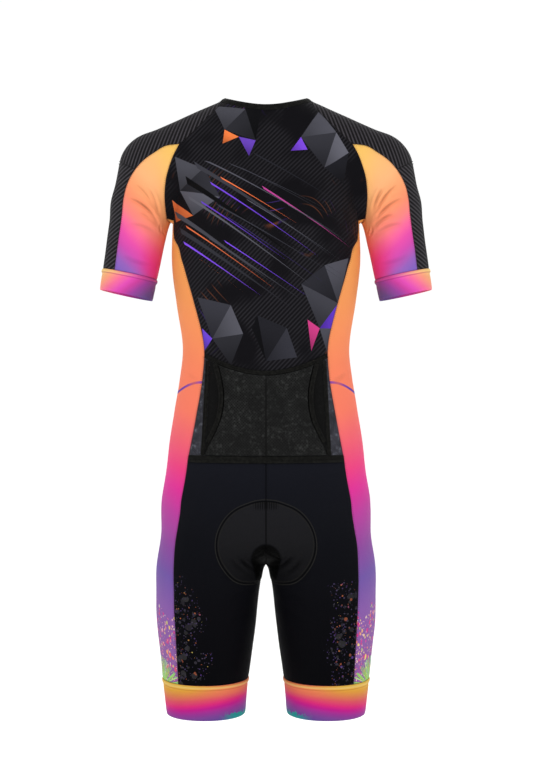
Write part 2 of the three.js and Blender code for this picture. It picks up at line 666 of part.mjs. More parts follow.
const suit = new THREE.Group();
const cloth = (colour, roughness = 0.7) =>
  new THREE.MeshStandardMaterial({ color: colour, roughness, metalness: 0 });
const MATERIALS = {
  print: cloth("#2a2830"),
  pinstripe: cloth("#232323"),
  gradientOrange: cloth("#ff8a4d"),
  gradientSide: cloth("#f0508a"),
  band: cloth("#f2589a"),
  shorts: cloth("#0e0f14"),
  mesh: cloth("#242424", 0.85),
  binding: cloth("#121212", 0.8),
  pad: cloth("#1b1b1b", 0.9),
  zip: cloth("#161616", 0.5),
};
function add(name, geometry, material) {
  const mesh = new THREE.Mesh(geometry, material);
  mesh.name = name;
  suit.add(mesh);
}
function addPair(name, geometry, material) {
  add(`${name}_right`, geometry, material);
  add(`${name}_left`, mirrorGeometry(geometry), material);
}
const wholeWidth = (half) => [...half.slice(1).reverse().map(mirrored), ...half];

// Upper back, between the two raglan seams.
const backEdge = joined(raglanBack, armholeBack, sideBackUpper);
add("back_print_panel", wallFrom(
  patch(behind, wholeWidth(neckBack), wholeWidth(pocketLine), backEdge.map(mirrored), backEdge),
), MATERIALS.print);

// Lower back, which the pocket lies on.
add("lower_back_panel", wallFrom(
  patch(behind, wholeWidth(pocketLine), wholeWidth(waistBack), sideBackMiddle.map(mirrored), sideBackMiddle),
), MATERIALS.mesh);

// Plain front, one panel each side of the zip.
const frontEdge = joined(raglanFront, armholeFront, sideFrontUpper, sideFrontMiddle);
addPair("chest_panel", wallFrom(patch(inFront, neckFront, waistFront, frontEdge, zipEdge)), MATERIALS.print);

// Sleeve: yoke over the shoulder, outer sleeve below it, and the coloured under sleeve.
addPair("yoke", wallFrom(patch(
  overArm, neckYoke, yokeSeam,
  joined(raglanBack, sleeveBack.shoulder), joined(raglanFront, sleeveFront.shoulder),
)), MATERIALS.pinstripe);
addPair("outer_sleeve", wallFrom(patch(
  overArm, yokeSeam, cuffOver, sleeveBack.sleeve, sleeveFront.sleeve,
)), MATERIALS.pinstripe);
addPair("under_sleeve", wallFrom(patch(
  underArm, joined(armholeBack, underarm, armholeFront.toReversed()), cuffUnder,
  joined(sleeveBack.shoulder, sleeveBack.sleeve), joined(sleeveFront.shoulder, sleeveFront.sleeve),
)), MATERIALS.gradientOrange);

// Sleeve cuff: a doubled band whose upper edge stands up in a roll.
const CUFF = { wall: 1.8, lift: 0.6, roll: 1.4 };
const cuffRing = joined(cuffOver.toReversed(), cuffUnder);
const cuffGrid = steps(STEPS.cuff + 1).map((share) =>
  cuffRing.map((point) => {
    if (share === 0) return point;
    const [angle, top] = underArm.name(point);
    const reach = share < 0.3 ? 0.12 : (share - 0.12) / 0.88;
    return underArm.find([angle, mix(top, CUFF_HEM, reach)]);
  }));
addPair("sleeve_cuff", wallFrom(cuffGrid, {
  ring: true,
  wall: CUFF.wall,
  lift: (_, u, v) => (v < 0.3 ? CUFF.lift + CUFF.roll * (v > 0 ? 1 : 0.5) : CUFF.lift),
}), MATERIALS.band);

// Side panel, from the underarm to the leg band.
addPair("side_panel", wallFrom(patch(
  besideBody, underarm, bandSide,
  joined(sideBackUpper, sideBackMiddle, sideBackLeg), joined(sideFrontUpper, sideFrontMiddle, sideFrontLeg),
)), MATERIALS.gradientSide);

// Shorts: a back and a front for each leg.
const innerBack = joined(centreBack, inseam);
const innerFront = joined(centreFront, inseam);
addPair("seat_panel", wallFrom(patch(legBehind, waistBack, bandBack, innerBack, sideBackLeg)), MATERIALS.shorts);
addPair("thigh_panel", wallFrom(patch(legInFront, thighTop, bandFront, sideFrontLeg, innerFront)), MATERIALS.shorts);

// Leg band: a doubled elastic band that pinches the leg a little.
const LEG_BAND = { wall: 1.8, lift: 0.4 };
const bandRing = joined(bandBack, bandSide, bandFront);
const bandGrid = steps(STEPS.legBand).map((share) =>
  bandRing.map((point) => {
    if (share === 0) return point;
    const [angle, top] = legBehind.name(point);
    return legBehind.find([angle, mix(top, LEG_HEM, share)]);
  }));
addPair("leg_band", wallFrom(bandGrid, { ring: true, wall: LEG_BAND.wall, lift: () => LEG_BAND.lift }), MATERIALS.band);


// Pocket: a lining laid on the lower back, and a front over it that is open along its curved mouths.
const readAt = (rows) => {
  const upwards = rows.toReversed();
  const table = smoothTable(upwards);
  return (height) => table(height)[0];
};
const pocketSide = readAt(POCKET_SIDE);
const pocketMouth = readAt(POCKET_MOUTH);
const belowPocketLine = (out, below) =>
  mix(POCKET_CENTRE, POCKET_CORNER, (out / sideBackMiddle[0].x) ** 1.9) - below;
function pocketLayer(edge, inset) {
  const bottom = WAIST_TAPE.height + WAIST_TAPE.halfWidth + SEAM_GAP;
  const corner = edge(belowPocketLine(pocketSide(POCKET_CORNER), POCKET_BINDING_BELOW)) - inset;
  const top = belowPocketLine(corner, POCKET_BINDING_BELOW);
  const across = (height) => (share) => {
    const out = (edge(height) - inset) * share;
    return fromBehind(out, height === top ? belowPocketLine(out, POCKET_BINDING_BELOW) : height);
  };
  const side = seam(STEPS.sideMiddle, (share) => {
    const height = mix(top, bottom, share);
    return fromBehind(edge(height) - inset, height);
  });
  const topSeam = exactEnds(seam(STEPS.halfWidth, across(top)), null, side[0]);
  const bottomSeam = exactEnds(seam(STEPS.halfWidth, across(bottom)), null, side.at(-1));
  return patch(behind, wholeWidth(topSeam), wholeWidth(bottomSeam), side.map(mirrored), side);
}
add("pocket_lining", wallFrom(pocketLayer(pocketSide, BINDING.halfWidth), {
  lift: () => POCKET.liningLift, wall: POCKET.liningWall,
}), MATERIALS.mesh);
add("back_pocket", wallFrom(pocketLayer(pocketMouth, POCKET.mouthInset), {
  lift: (_, u, v) => POCKET.frontLift + POCKET.frontFlare * Math.abs(2 * u - 1) ** 3 * Math.sin(v * Math.PI),
}), MATERIALS.mesh);

// Bindings round the pocket, and the tape that covers the waist seam behind.
const acrossBinding = [-BINDING.halfWidth, 0, BINDING.halfWidth];
const bindingOf = (points, lift = bindingLift) =>
  wallFrom(strip(points, acrossBinding), { lift, wall: BINDING.wall });
add("pocket_top_binding", bindingOf(wholeWidth(pocketLine)), MATERIALS.binding);
const bindingRun = (edge, from, to, count) => {
  const top = belowPocketLine(edge(from), POCKET_BINDING_BELOW + BINDING.wall);
  return seam(count, (share) => fromBehind(edge(mix(top, to, share)), mix(top, to, share)));
};
const tapeTop = WAIST_TAPE.height + WAIST_TAPE.halfWidth + SEAM_GAP;
addPair("pocket_side_binding", bindingOf(
  bindingRun(pocketSide, POCKET_CORNER, tapeTop, STEPS.sideUpper)), MATERIALS.binding);
addPair("pocket_mouth_binding", bindingOf(
  bindingRun(pocketMouth, POCKET_CORNER, POCKET.mouthBindingEnd, STEPS.sideUpper),
  (_, u, v) => bindingLift(_, u, v) + POCKET.frontLift - BINDING.edge + BINDING.wall
    + POCKET.frontFlare * Math.sin(u * Math.PI)), MATERIALS.binding);
const tapeCorner = fromBehind(sideSeams(WAIST_TAPE.height)[0], WAIST_TAPE.height);
const tapeLine = across(behind, fromBehind(0, WAIST_TAPE.height), tapeCorner, STEPS.halfWidth);
add("waist_tape", wallFrom(
  strip(wholeWidth(tapeLine), [-WAIST_TAPE.halfWidth, 0, WAIST_TAPE.halfWidth]),
  { lift: bindingLift, wall: BINDING.wall }), MATERIALS.binding);

// Neck binding, from one side of the zip round the back to the other.
const neckHalf = joined(neckBack, neckYoke, neckFront);
const neckRound = wholeWidth(neckHalf);
const neckRows = strip(neckRound, [0, NECK_BINDING_WIDTH / 2, NECK_BINDING_WIDTH]);
add("neck_binding", wallFrom(neckRows, {
  lift: (_, u, v) => mix(0.3, 1.1, Math.sin(v * Math.PI)), wall: 1.9,
}), MATERIALS.binding);

// Front zip: its tape from the top of the neck binding to the waist seam, with the chain's ridge.
const zipTop = neckRows.at(-1).at(-1);
const zipSide = [zipTop, ...zipEdge];
const chainEdge = CHAIN.halfWidth + CHAIN.shoulder;
const zipShares = [-1, -chainEdge, -CHAIN.halfWidth, CHAIN.halfWidth, chainEdge, 1];
const zipGrid = zipSide.map((point) =>
  zipShares.map((share) => {
    if (Math.abs(share) === 1) return vector(share * point.x, point.y, point.z);
    return fromInFront(share, point.z);
  }));
const onChain = (u) => Math.abs(u - 0.5) < 0.2;
add("front_zip", wallFrom(zipGrid, {
  lift: (_, u) => (onChain(u) ? CHAIN.height : 0),
  wall: (u) => WALL + (onChain(u) ? CHAIN.height : 0),
}), MATERIALS.zip);


// Zip slider and pull tab, drawn in a frame that lies on the chain: across, down the zip, and out.
const sliderFoot = fromInFront(0, zipTop.z - SLIDER.below);
const sliderOut = outwardNormal(sliderFoot);
const sliderDown = sliderOut.clone().cross(vector(1, 0, 0));
const sliderFrame = new THREE.Matrix4()
  .makeBasis(vector(1, 0, 0), sliderDown, sliderOut)
  .setPosition(sliderFoot);

function outlined(points, hole = []) {
  const shape = new THREE.Shape(points.map(([x, y]) => new THREE.Vector2(x, y)));
  if (hole.length) shape.holes.push(new THREE.Path(hole.map(([x, y]) => new THREE.Vector2(x, y))));
  return shape;
}
const rectangle = (halfWidth, from, to) => [
  [-halfWidth, from], [halfWidth, from], [halfWidth, to], [-halfWidth, to],
];
function plate(width, endWidth, from, to, corner) {
  const [start, end] = [width / 2, endWidth / 2];
  return [
    [-start, from], [start, from], [end, to - corner], [end - corner, to],
    [-end + corner, to], [-end, to - corner],
  ];
}
const slab = (shape, thickness, foot) =>
  new THREE.ExtrudeGeometry(shape, { depth: thickness, bevelEnabled: false }).translate(0, 0, foot);

const wasm = await Module();
wasm.setup();
function solid(geometry) {
  const bare = new THREE.BufferGeometry().setAttribute("position", geometry.getAttribute("position"));
  bare.setIndex(geometry.index);
  const merged = mergeVertices(bare, 1e-3);
  return new wasm.Manifold(new wasm.Mesh({
    numProp: 3,
    vertProperties: merged.getAttribute("position").array,
    triVerts: new Uint32Array(merged.index.array),
  }));
}
function united(first, second) {
  const { vertProperties, triVerts } = solid(first).add(solid(second)).getMesh();
  const geometry = new THREE.BufferGeometry();
  geometry.setAttribute("position", new THREE.BufferAttribute(vertProperties, 3));
  geometry.setIndex(new THREE.BufferAttribute(triVerts, 1));
  return geometry;
}

const sliderTop = SLIDER.above + SLIDER.thickness;
const sliderBody = slab(
  outlined(plate(SLIDER.width, SLIDER.endWidth, -SLIDER.length / 2, SLIDER.length / 2, 1.6)),
  SLIDER.thickness, SLIDER.above);
const legInside = BRIDGE.reach - BRIDGE.leg;
const eyeTop = sliderTop + BRIDGE.eye;
const bridgeFoot = sliderTop - SLIDER.thickness / 2;
const arch = outlined([
  [-BRIDGE.reach, bridgeFoot], [-legInside, bridgeFoot], [-legInside, eyeTop], [legInside, eyeTop],
  [legInside, bridgeFoot], [BRIDGE.reach, bridgeFoot],
  [BRIDGE.reach, eyeTop + BRIDGE.strap], [-BRIDGE.reach, eyeTop + BRIDGE.strap],
]);
const standing = new THREE.Matrix4().makeBasis(vector(0, 1, 0), vector(0, 0, 1), vector(1, 0, 0));
const bridge = slab(arch, BRIDGE.width, -BRIDGE.width / 2).applyMatrix4(standing);
add("zip_slider", united(sliderBody, bridge).applyMatrix4(sliderFrame), MATERIALS.zip);

// The pull hangs by its bar in the bridge's eye and rests on the slider.
const pullShape = outlined(
  plate(PULL.width, PULL.endWidth, -PULL.bar, PULL.length - PULL.bar, 1.8),
  rectangle(PULL.slotWidth / 2, PULL.bar, PULL.bar + PULL.slot));
add("zip_pull", slab(pullShape, PULL.thickness, sliderTop + RUNNING_GAP).applyMatrix4(sliderFrame),
  MATERIALS.zip);

// Seat pad, inside the seat and under the crotch.
const padMiddle = vector(...PAD_MIDDLE);
const padCarrier = {
  name: (point) => {
    const arm = point.clone().sub(padMiddle);
    return [near(degrees(Math.atan2(-arm.z, -arm.y)), 90), degrees(Math.atan2(arm.x, Math.hypot(arm.y, arm.z)))];
  },
  find: ([angle, aside]) => {
    const [a, b] = [radians(angle), radians(aside)];
    return cross(padMiddle, vector(Math.sin(b), -Math.cos(b) * Math.cos(a), -Math.cos(b) * Math.sin(a)));
  },
};
const padEdgeAt = smoothTable(PAD_EDGE);
const [padFrom, padTo] = [PAD_EDGE[0].angle, PAD_EDGE.at(-1).angle];
const padMiddleLine = seam(STEPS.padLength, (share) => {
  const a = radians(mix(padFrom, padTo, share));
  return cross(vector(0, PAD_MIDDLE[1], PAD_MIDDLE[2]), vector(0, -Math.cos(a), -Math.sin(a)));
});
const padRows = padMiddleLine.map((middle, j) => {
  const angle = mix(padFrom, padTo, j / STEPS.padLength);
  const [from, to] = [padCarrier.name(middle), [angle, padEdgeAt(angle)[0]]];
  const half = seam(STEPS.padWidth, (share) =>
    share === 0 ? middle : padCarrier.find([mix(from[0], to[0], share), mix(from[1], to[1], share)]));
  return wholeWidth(half);
});
add("seat_pad", wallFrom(padRows, { lift: () => -WALL - PAD.under, wall: PAD.wall }), MATERIALS.pad);

export default suit;
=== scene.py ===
"""A short-sleeved triathlon suit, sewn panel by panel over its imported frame.

Lengths in the pattern are millimetres: x to the wearer's right, y the way the wearer faces, z up.
"""

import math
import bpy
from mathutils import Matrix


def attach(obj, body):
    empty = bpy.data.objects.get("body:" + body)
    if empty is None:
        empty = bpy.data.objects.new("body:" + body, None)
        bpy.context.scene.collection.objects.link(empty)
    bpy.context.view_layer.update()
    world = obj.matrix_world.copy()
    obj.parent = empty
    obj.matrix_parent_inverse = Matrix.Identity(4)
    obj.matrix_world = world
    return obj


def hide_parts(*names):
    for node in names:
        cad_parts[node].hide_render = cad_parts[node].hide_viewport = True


bl_info = {
    "name": "Triathlon Suit",
    "version": (1, 0, 0),
    "blender": (4, 5, 0),
    "location": "View3D > Sidebar > Suit",
    "description": "Cuts, shapes and sews the panels, bindings, pad and zip of a triathlon suit",
    "category": "Add Mesh",
}

import bpy
import numpy as np
from bpy.props import FloatProperty, FloatVectorProperty, PointerProperty
from mathutils import Matrix, Vector

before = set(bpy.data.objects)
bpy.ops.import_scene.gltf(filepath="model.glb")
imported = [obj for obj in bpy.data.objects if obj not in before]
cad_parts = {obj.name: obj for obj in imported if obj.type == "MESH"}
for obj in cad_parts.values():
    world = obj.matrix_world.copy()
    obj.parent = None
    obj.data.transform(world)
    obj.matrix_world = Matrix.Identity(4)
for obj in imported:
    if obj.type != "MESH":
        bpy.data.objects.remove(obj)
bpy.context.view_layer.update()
MM = 0.001


def srgb(code):
    """A hex colour such as #F9A54E as linear red, green and blue."""
    levels = np.array([int(code[i : i + 2], 16) for i in (1, 3, 5)]) / 255
    return tuple(np.where(levels < 0.04045, levels / 12.92, ((levels + 0.055) / 1.055) ** 2.4))


# The figure that the cloth lies on

# Trunk sections, upwards: height, half width, depth behind and depth in front.
TRUNK = [
    (-760, 148, 100, 84), (-700, 169, 127, 91), (-640, 167, 135, 95), (-585, 158.5, 126, 96),
    (-541, 153.5, 113, 97), (-493, 146, 99, 99), (-445, 138, 90, 100), (-392, 133, 87, 101),
    (-320, 143.5, 97, 107), (-262, 150, 110, 113), (-224, 150, 116, 114), (-170, 146, 115, 107),
    (-120, 136, 104, 90), (-80, 110, 84, 62), (-40, 62, 56, 28),
]
TRUNK_SQUARENESS = 2.3
TRUNK_BOTTOM, TRUNK_TOP = -726, -36

# Leg sections, upwards: height, middle, half width, depth behind and depth in front.
LEG = [
    (-990, 95, 61, 62, 62), (-973, 95.3, 62.3, 64, 63.5), (-925, 96, 67, 71, 69),
    (-877, 95.2, 72.8, 79, 76.5), (-829, 94.5, 78.5, 87, 84), (-781, 92.7, 81.5, 95, 91),
    (-733, 89, 84, 101, 97), (-690, 84, 79, 98, 96), (-640, 76, 62, 80, 80),
]
LEG_SQUARENESS = 2.1
LEG_TOP, LEG_MIDDLE_Y = -650, -12

# Tapered limbs: a ball at each end, as its place and radius.
NECK = ((0, -30, -80), 58, (0, -6, 60), 54)
SHOULDER = ((40, -16, -55), 60, (168, -10, -108), 58)
UPPER_ARM = ((176, -8, -111), 58.5, (198, -6, -170), 48)
LOWER_ARM = ((198, -6, -170), 48, (226, -2, -325), 41.8)
BLEND = {"shoulder": 34, "neck": 26, "arm": 9, "elbow": 12, "leg": 26, "seat": 120, "cap": 50}

ARM_AXIS = np.array([[20, -68], [190, -62], [186, -150], [226, -330]], float)
ARM_AXIS_Y = -8


def mix(a, b, share):
    return a + (b - a) * share


def smooth_table(rows):
    """A smooth curve through rows whose first column is the place: reads the others at any place."""
    rows = np.asarray(rows, float)
    places, columns = rows[:, 0], rows[:, 1:]
    before = np.maximum(np.arange(len(rows)) - 1, 0)
    after = np.minimum(np.arange(len(rows)) + 1, len(rows) - 1)
    slopes = (columns[after] - columns[before]) / (places[after] - places[before])[:, None]

    def read(place):
        at = np.clip(place, places[0], places[-1])
        i = np.clip(np.searchsorted(places, at, side="right") - 1, 0, len(places) - 2)
        span = places[i + 1] - places[i]
        s = (at - places[i]) / span
        rise, leave, arrive = s * s * (3 - 2 * s), s * (1 - s) ** 2 * span, s * s * (s - 1) * span
        return (
            mix(columns[i], columns[i + 1], rise[..., None])
            + leave[..., None] * slopes[i]
            + arrive[..., None] * slopes[i + 1]
        )

    return read


def smooth_line(rows):
    """A smooth line through points, read by the share of its length."""
    rows = np.asarray(rows, float)
    runs = np.linalg.norm(np.diff(rows, axis=0), axis=1)
    lengths = np.concatenate([[0], np.cumsum(runs)])
    read = smooth_table(np.column_stack([lengths, rows]))
    return lambda share: read(np.asarray(share) * lengths[-1])


def join(a, b, reach):
    near = np.maximum(reach - np.abs(a - b), 0) / reach
    return np.minimum(a, b) - near**3 * reach / 6


def keep_both(a, b, reach):
    return -join(-a, -b, reach)


def outside_section(x, y, half_width, depth, squareness):
    reach = np.hypot(x, y) + 1e-6
    share = np.abs(x / half_width) ** squareness + np.abs(y / depth) ** squareness
    return reach - reach / np.maximum(share ** (1 / squareness), 1e-9)


trunk_at = smooth_table(TRUNK)
leg_at = smooth_table(LEG)


def outside_trunk(p):
    half_width, back, front = trunk_at(p[:, 2]).T
    depth = np.where(p[:, 1] < 0, back, front)
    value = outside_section(p[:, 0], p[:, 1], half_width, depth, TRUNK_SQUARENESS)
    value = keep_both(value, TRUNK_BOTTOM - p[:, 2], BLEND["seat"])
    return keep_both(value, p[:, 2] - TRUNK_TOP, BLEND["neck"])


def outside_leg(p, side):
    middle, half_width, back, front = leg_at(p[:, 2]).T
    y = p[:, 1] - LEG_MIDDLE_Y
    depth = np.where(y < 0, back, front)
    value = outside_section(p[:, 0] - side * middle, y, half_width, depth, LEG_SQUARENESS)
    return keep_both(value, p[:, 2] - LEG_TOP, BLEND["cap"])


def outside_limb(p, side, limb):
    start, radius_from, end, radius_to = limb
    start, end = np.array(start, float), np.array(end, float)
    along = end - start
    point = np.column_stack([side * p[:, 0], p[:, 1], p[:, 2]]) - start
    length2 = along @ along
    taper = radius_from - radius_to
    run2 = length2 - taper * taper
    reach = point @ along
    beyond = reach - length2
    aside2 = ((point * length2 - reach[:, None] * along) ** 2).sum(1)
    limit = np.sign(taper) * taper * taper * aside2
    past_end = np.sign(beyond) * run2 * beyond**2 * length2 > limit
    past_start = np.sign(reach) * run2 * reach**2 * length2 < limit
    at_end = np.sqrt(aside2 + beyond**2 * length2) / length2 - radius_to
    at_start = np.sqrt(aside2 + reach**2 * length2) / length2 - radius_from
    between = (np.sqrt(aside2 * run2 / length2) + reach * taper) / length2 - radius_from
    return np.where(past_end, at_end, np.where(past_start, at_start, between))


def outside(p):
    """Below zero inside the figure and above zero outside it."""
    value = outside_trunk(p)
    for side in (1, -1):
        value = join(value, outside_limb(p, side, SHOULDER), BLEND["shoulder"])
    value = join(value, outside_limb(p, 1, NECK), BLEND["neck"])
    side = np.where(p[:, 0] < 0, -1.0, 1.0)
    arm = join(outside_limb(p, side, UPPER_ARM), outside_limb(p, side, LOWER_ARM), BLEND["elbow"])
    value = join(value, arm, BLEND["arm"])
    legs = join(outside_leg(p, 1), outside_leg(p, -1), BLEND["leg"])
    return join(value, legs, BLEND["leg"])


def flat_points(values):
    return np.asarray(values, float).reshape(-1, 3)


def outward_normal(points):
    points = np.asarray(points, float)
    p = flat_points(points)
    steps = 0.5 * np.eye(3)
    slope = np.column_stack([outside(p + step) - outside(p - step) for step in steps])
    return (slope / np.linalg.norm(slope, axis=1)[:, None]).reshape(points.shape)


def cross(start, direction, reach=420, stride=5.0):
    """Where the way from each start along its direction first crosses the figure's surface."""
    start, direction = np.broadcast_arrays(np.asarray(start, float), np.asarray(direction, float))
    shape = start.shape
    start, direction = flat_points(start), flat_points(direction)
    inside = outside(start) < 0
    near, far = np.zeros(len(start)), np.full(len(start), stride)
    moving = np.arange(len(start))
    while len(moving) and far[moving].max() < reach:
        same = (outside(start[moving] + direction[moving] * far[moving, None]) < 0) == inside[moving]
        moving = moving[same]
        near[moving] = far[moving]
        far[moving] += stride
    for _ in range(20):
        middle = (near + far) / 2
        same = (outside(start + direction * middle[:, None]) < 0) == inside
        near, far = np.where(same, middle, near), np.where(same, far, middle)
    found = start + direction * ((near + far) / 2)[:, None]
    found[moving] = np.nan
    return found.reshape(shape)


def settled(points):
    """Moves points that lie close to the figure straight onto its surface."""
    p = np.array(points, float)
    for _ in range(6):
        p = p - outward_normal(p) * np.clip(outside(p), -8, 8)[:, None]
    return p


def points_of(x, y, z):
    return np.stack(np.broadcast_arrays(*(np.asarray(v, float) for v in (x, y, z))), axis=-1)


def from_behind(out, height):
    return cross(points_of(out, -260, height), (0, 1, 0))


def from_in_front(out, height):
    return cross(points_of(out, 260, height), (0, -1, 0))


def from_below(out, forward):
    return cross(points_of(out, forward, -330), (0, 0, 1))


# Carriers: each names a point of the cloth by two numbers and finds it again


def near_angle(angle, centre):
    return centre + (angle - centre + 180) % 360 - 180


class Upright:
    """Angles round an upright axis: 0 behind, 90 on the wearer's right and 180 in front."""

    def __init__(self, axis_x, centre):
        self.axis_x, self.centre = axis_x, centre

    def name(self, p):
        angle = np.degrees(np.arctan2(p[..., 0] - self.axis_x(p[..., 2]), LEG_MIDDLE_Y - p[..., 1]))
        return np.stack([near_angle(angle, self.centre), p[..., 2]], axis=-1)

    def find(self, named):
        angle, z = np.radians(named[..., 0]), named[..., 1]
        direction = points_of(np.sin(angle), -np.cos(angle), 0)
        return cross(points_of(self.axis_x(z), LEG_MIDDLE_Y, z), direction)


def trunk_axis(z):
    return np.zeros_like(z)


def leg_axis(z):
    share = np.clip((-450 - z) / 283, 0, 1)
    return 94 * share * share * (3 - 2 * share)


def arm_axis(t):
    t = np.asarray(t, float)[..., None]
    s = 1 - t
    weights = s**3, 3 * s * s * t, 3 * s * t * t, t**3
    at = sum(weight * point for weight, point in zip(weights, ARM_AXIS))
    return points_of(at[..., 0], ARM_AXIS_Y, at[..., 1])


def arm_along(t):
    step = arm_axis(t + 1e-4) - arm_axis(t - 1e-4)
    return step / np.linalg.norm(step, axis=-1)[..., None]


def arm_outward(t):
    along = arm_along(t)
    return points_of(-along[..., 2], 0, along[..., 0])


def arm_place(p):
    low, high = np.full(p.shape[:-1], -0.1), np.full(p.shape[:-1], 1.1)
    for _ in range(34):
        middle = (low + high) / 2
        ahead = ((p - arm_axis(middle)) * arm_along(middle)).sum(-1) > 0
        low, high = np.where(ahead, middle, low), np.where(ahead, high, middle)
    return (low + high) / 2


class Sleeve:
    """Angles round the arm's line: 0 on top, -90 behind and 180 under it."""

    def __init__(self, centre):
        self.centre = centre

    def name(self, p):
        t = arm_place(p)
        arm = p - arm_axis(t)
        angle = np.degrees(np.arctan2(arm[..., 1], (arm * arm_outward(t)).sum(-1)))
        return np.stack([near_angle(angle, self.centre), t], axis=-1)

    def find(self, named):
        angle, t = np.radians(named[..., 0]), named[..., 1]
        direction = arm_outward(t) * np.cos(angle)[..., None] + points_of(0, np.sin(angle), 0)
        return cross(arm_axis(t), direction)


over_arm, under_arm = Sleeve(0), Sleeve(180)
behind, in_front = Upright(trunk_axis, 0), Upright(trunk_axis, 180)
leg_behind, leg_in_front = Upright(leg_axis, 0), Upright(leg_axis, 180)
beside_body = Upright(leg_axis, 90)


def patch(carrier, top, bottom, left, right):
    """A grid of points on the figure between four seams."""
    columns, rows = len(top) - 1, len(left) - 1
    t, b, l, r = (carrier.name(points) for points in (top, bottom, left, right))
    u, v = np.meshgrid(np.linspace(0, 1, columns + 1), np.linspace(0, 1, rows + 1))
    u, v = u[..., None], v[..., None]
    corners = mix(mix(t[0], t[-1], u), mix(b[0], b[-1], u), v)
    named = mix(t[None], b[None], v) + mix(l[:, None], r[:, None], u) - corners
    grid = np.empty((rows + 1, columns + 1, 3))
    grid[1:-1, 1:-1] = carrier.find(named[1:-1, 1:-1])
    grid[0], grid[-1], grid[1:-1, 0], grid[1:-1, -1] = top, bottom, left[1:-1], right[1:-1]
    return grid


# Seams of the right half. Each is drawn as finely as DETAIL says.

WAIST, POCKET_CORNER, POCKET_CENTRE = -570, -406, -434.5
LEG_BAND_TOP, LEG_HEM = -916, -972
UNDERARM_BACK, UNDERARM_FRONT = -190, -172
CUFF_TOP_HEIGHT, CUFF_HEM_HEIGHT, YOKE_SEAM_HEIGHT = -277, -310, -117
DETAIL = {
    "raglan": 34, "armhole": 58, "underarm": 24, "side_upper": 70, "side_middle": 50, "crotch": 74,
    "inseam": 50, "half_width": 48, "over_arm": 36, "shoulder": 30, "sleeve": 78, "cuff": 16,
    "leg_band": 22,
}

RAGLAN_BACK = [(75.5, -18), (103.5, -49), (125, -71), (134.6, -79)]
ARMHOLE_BACK = [
    (134.6, -79), (144, -97.5), (151, -116.5), (156, -135), (158.5, -160), (156.6, UNDERARM_BACK),
]
RAGLAN_FRONT = [(93, -66), (126, -98)]
ARMHOLE_FRONT = [(126, -98), (136, -122), (142, -147), (144.5, UNDERARM_FRONT)]
SLEEVE_BACK = [
    (134.6, -79), (156.5, -81.6), (175, -92.6), (189, -102.5), (201, -114), (211.4, -127.4),
    (219, -143), (223.3, -161.6), (225.5, -183), (228.5, -205), (232, -228), (238, -272),
]
SLEEVE_FRONT = [
    (126, -98), (150, -97), (172, -102), (189, -110), (201, -120), (211, -132), (219, -146),
    (223.5, -163), (225.5, -183), (228.5, -205), (232, -228), (238, -272),
]
UNDERARM = [(154, -18), (152.5, -9), (152, 0), (151.5, 9), (150, 17)]

# Height, then how far out the side panel's seams lie behind and in front.
SIDE_SEAMS = [
    (-916, 136, 131), (-855, 138.8, 134), (-799, 141.3, 136), (-747, 142, 136), (-700, 140, 134),
    (-628, 129.3, 128), (-570, 120.6, 122), (-508, 109.4, 113), (-451, 99.8, 105), (-406, 96, 103),
    (-383, 97.6, 104.5), (-350, 105.3, 110), (-290, 121.7, 123), (-226, 141.3, 135),
    (-191, 156.5, 143.5), (-172, 160, 144.5),
]
NECK_SEAM = {"back": -27, "side": -2, "front": -85, "hollow": 1.6, "axis_y": -12}
NECK_CORNERS = {"back": 75, "front": 122, "zip": 172.5}


def shares(count):
    return np.linspace(0, 1, count + 1)


def drawn(rows, count, find, first=None, last=None):
    points = find(*smooth_line(rows)(shares(count)).T)
    return with_ends(points, first, last)


def with_ends(points, first=None, last=None):
    if first is not None:
        points[0] = first
    if last is not None:
        points[-1] = last
    return points


def joined(*seams):
    return np.concatenate([seams[0], *(s[1:] for s in seams[1:])])


def mirrored(points):
    return points * (-1, 1, 1)


def whole_width(half):
    return np.concatenate([mirrored(half[:0:-1]), half])


def neck_point(angle):
    a = np.radians(angle)
    end = np.where(np.cos(a) > 0, NECK_SEAM["back"], NECK_SEAM["front"])
    height = mix(NECK_SEAM["side"], end, np.abs(np.cos(a)) ** NECK_SEAM["hollow"])
    return cross(points_of(0, NECK_SEAM["axis_y"], height), points_of(np.sin(a), -np.cos(a), 0))


def across(carrier, start, end, count):
    a, b = carrier.name(start), carrier.name(end)
    return with_ends(carrier.find(mix(a, b, shares(count)[:, None])), start, end)


def sleeve_seam(rows, find, first):
    line = smooth_line(rows)

    def share_where(reached):
        low, high = 0.0, 1.0
        for _ in range(30):
            middle = (low + high) / 2
            if reached(find(*line(middle))):
                high = middle
            else:
                low = middle
        return low

    yoke = share_where(lambda p: p[2] < YOKE_SEAM_HEIGHT)
    cuff = share_where(lambda p: arm_place(p) > CUFF_TOP)
    shoulder = find(*line(mix(0, yoke, shares(DETAIL["shoulder"]))).T)
    sleeve = find(*line(mix(yoke, cuff, shares(DETAIL["sleeve"]))).T)
    return with_ends(shoulder, first), sleeve


def place_at_height(height):
    t = np.linspace(0, 1, 4001)
    return float(np.interp(-height, -arm_axis(t)[:, 2], t))


side_seams = smooth_table(SIDE_SEAMS)


def side_run(column, find, start, end, count, first=None):
    """A long seam of the side panel, carried smoothly through a few places of its table."""
    height = mix(start, end, shares(9))
    knots = beside_body.name(with_ends(find(side_seams(height)[:, column], height), first))
    return with_ends(beside_body.find(smooth_line(knots)(shares(count))), first)


def round_crotch(start, count):
    """The shorts' centre seam, from the waist to the middle of the crotch."""
    middle = np.array([0, LEG_MIDDLE_Y, -640.0])
    arm = start - middle
    angle = mix(math.atan2(-arm[2], abs(arm[1])), math.pi / 2, shares(count))
    direction = points_of(0, np.sign(arm[1]) * np.cos(angle), -np.sin(angle))
    return with_ends(cross(middle, direction), start)


SEAMS = {}


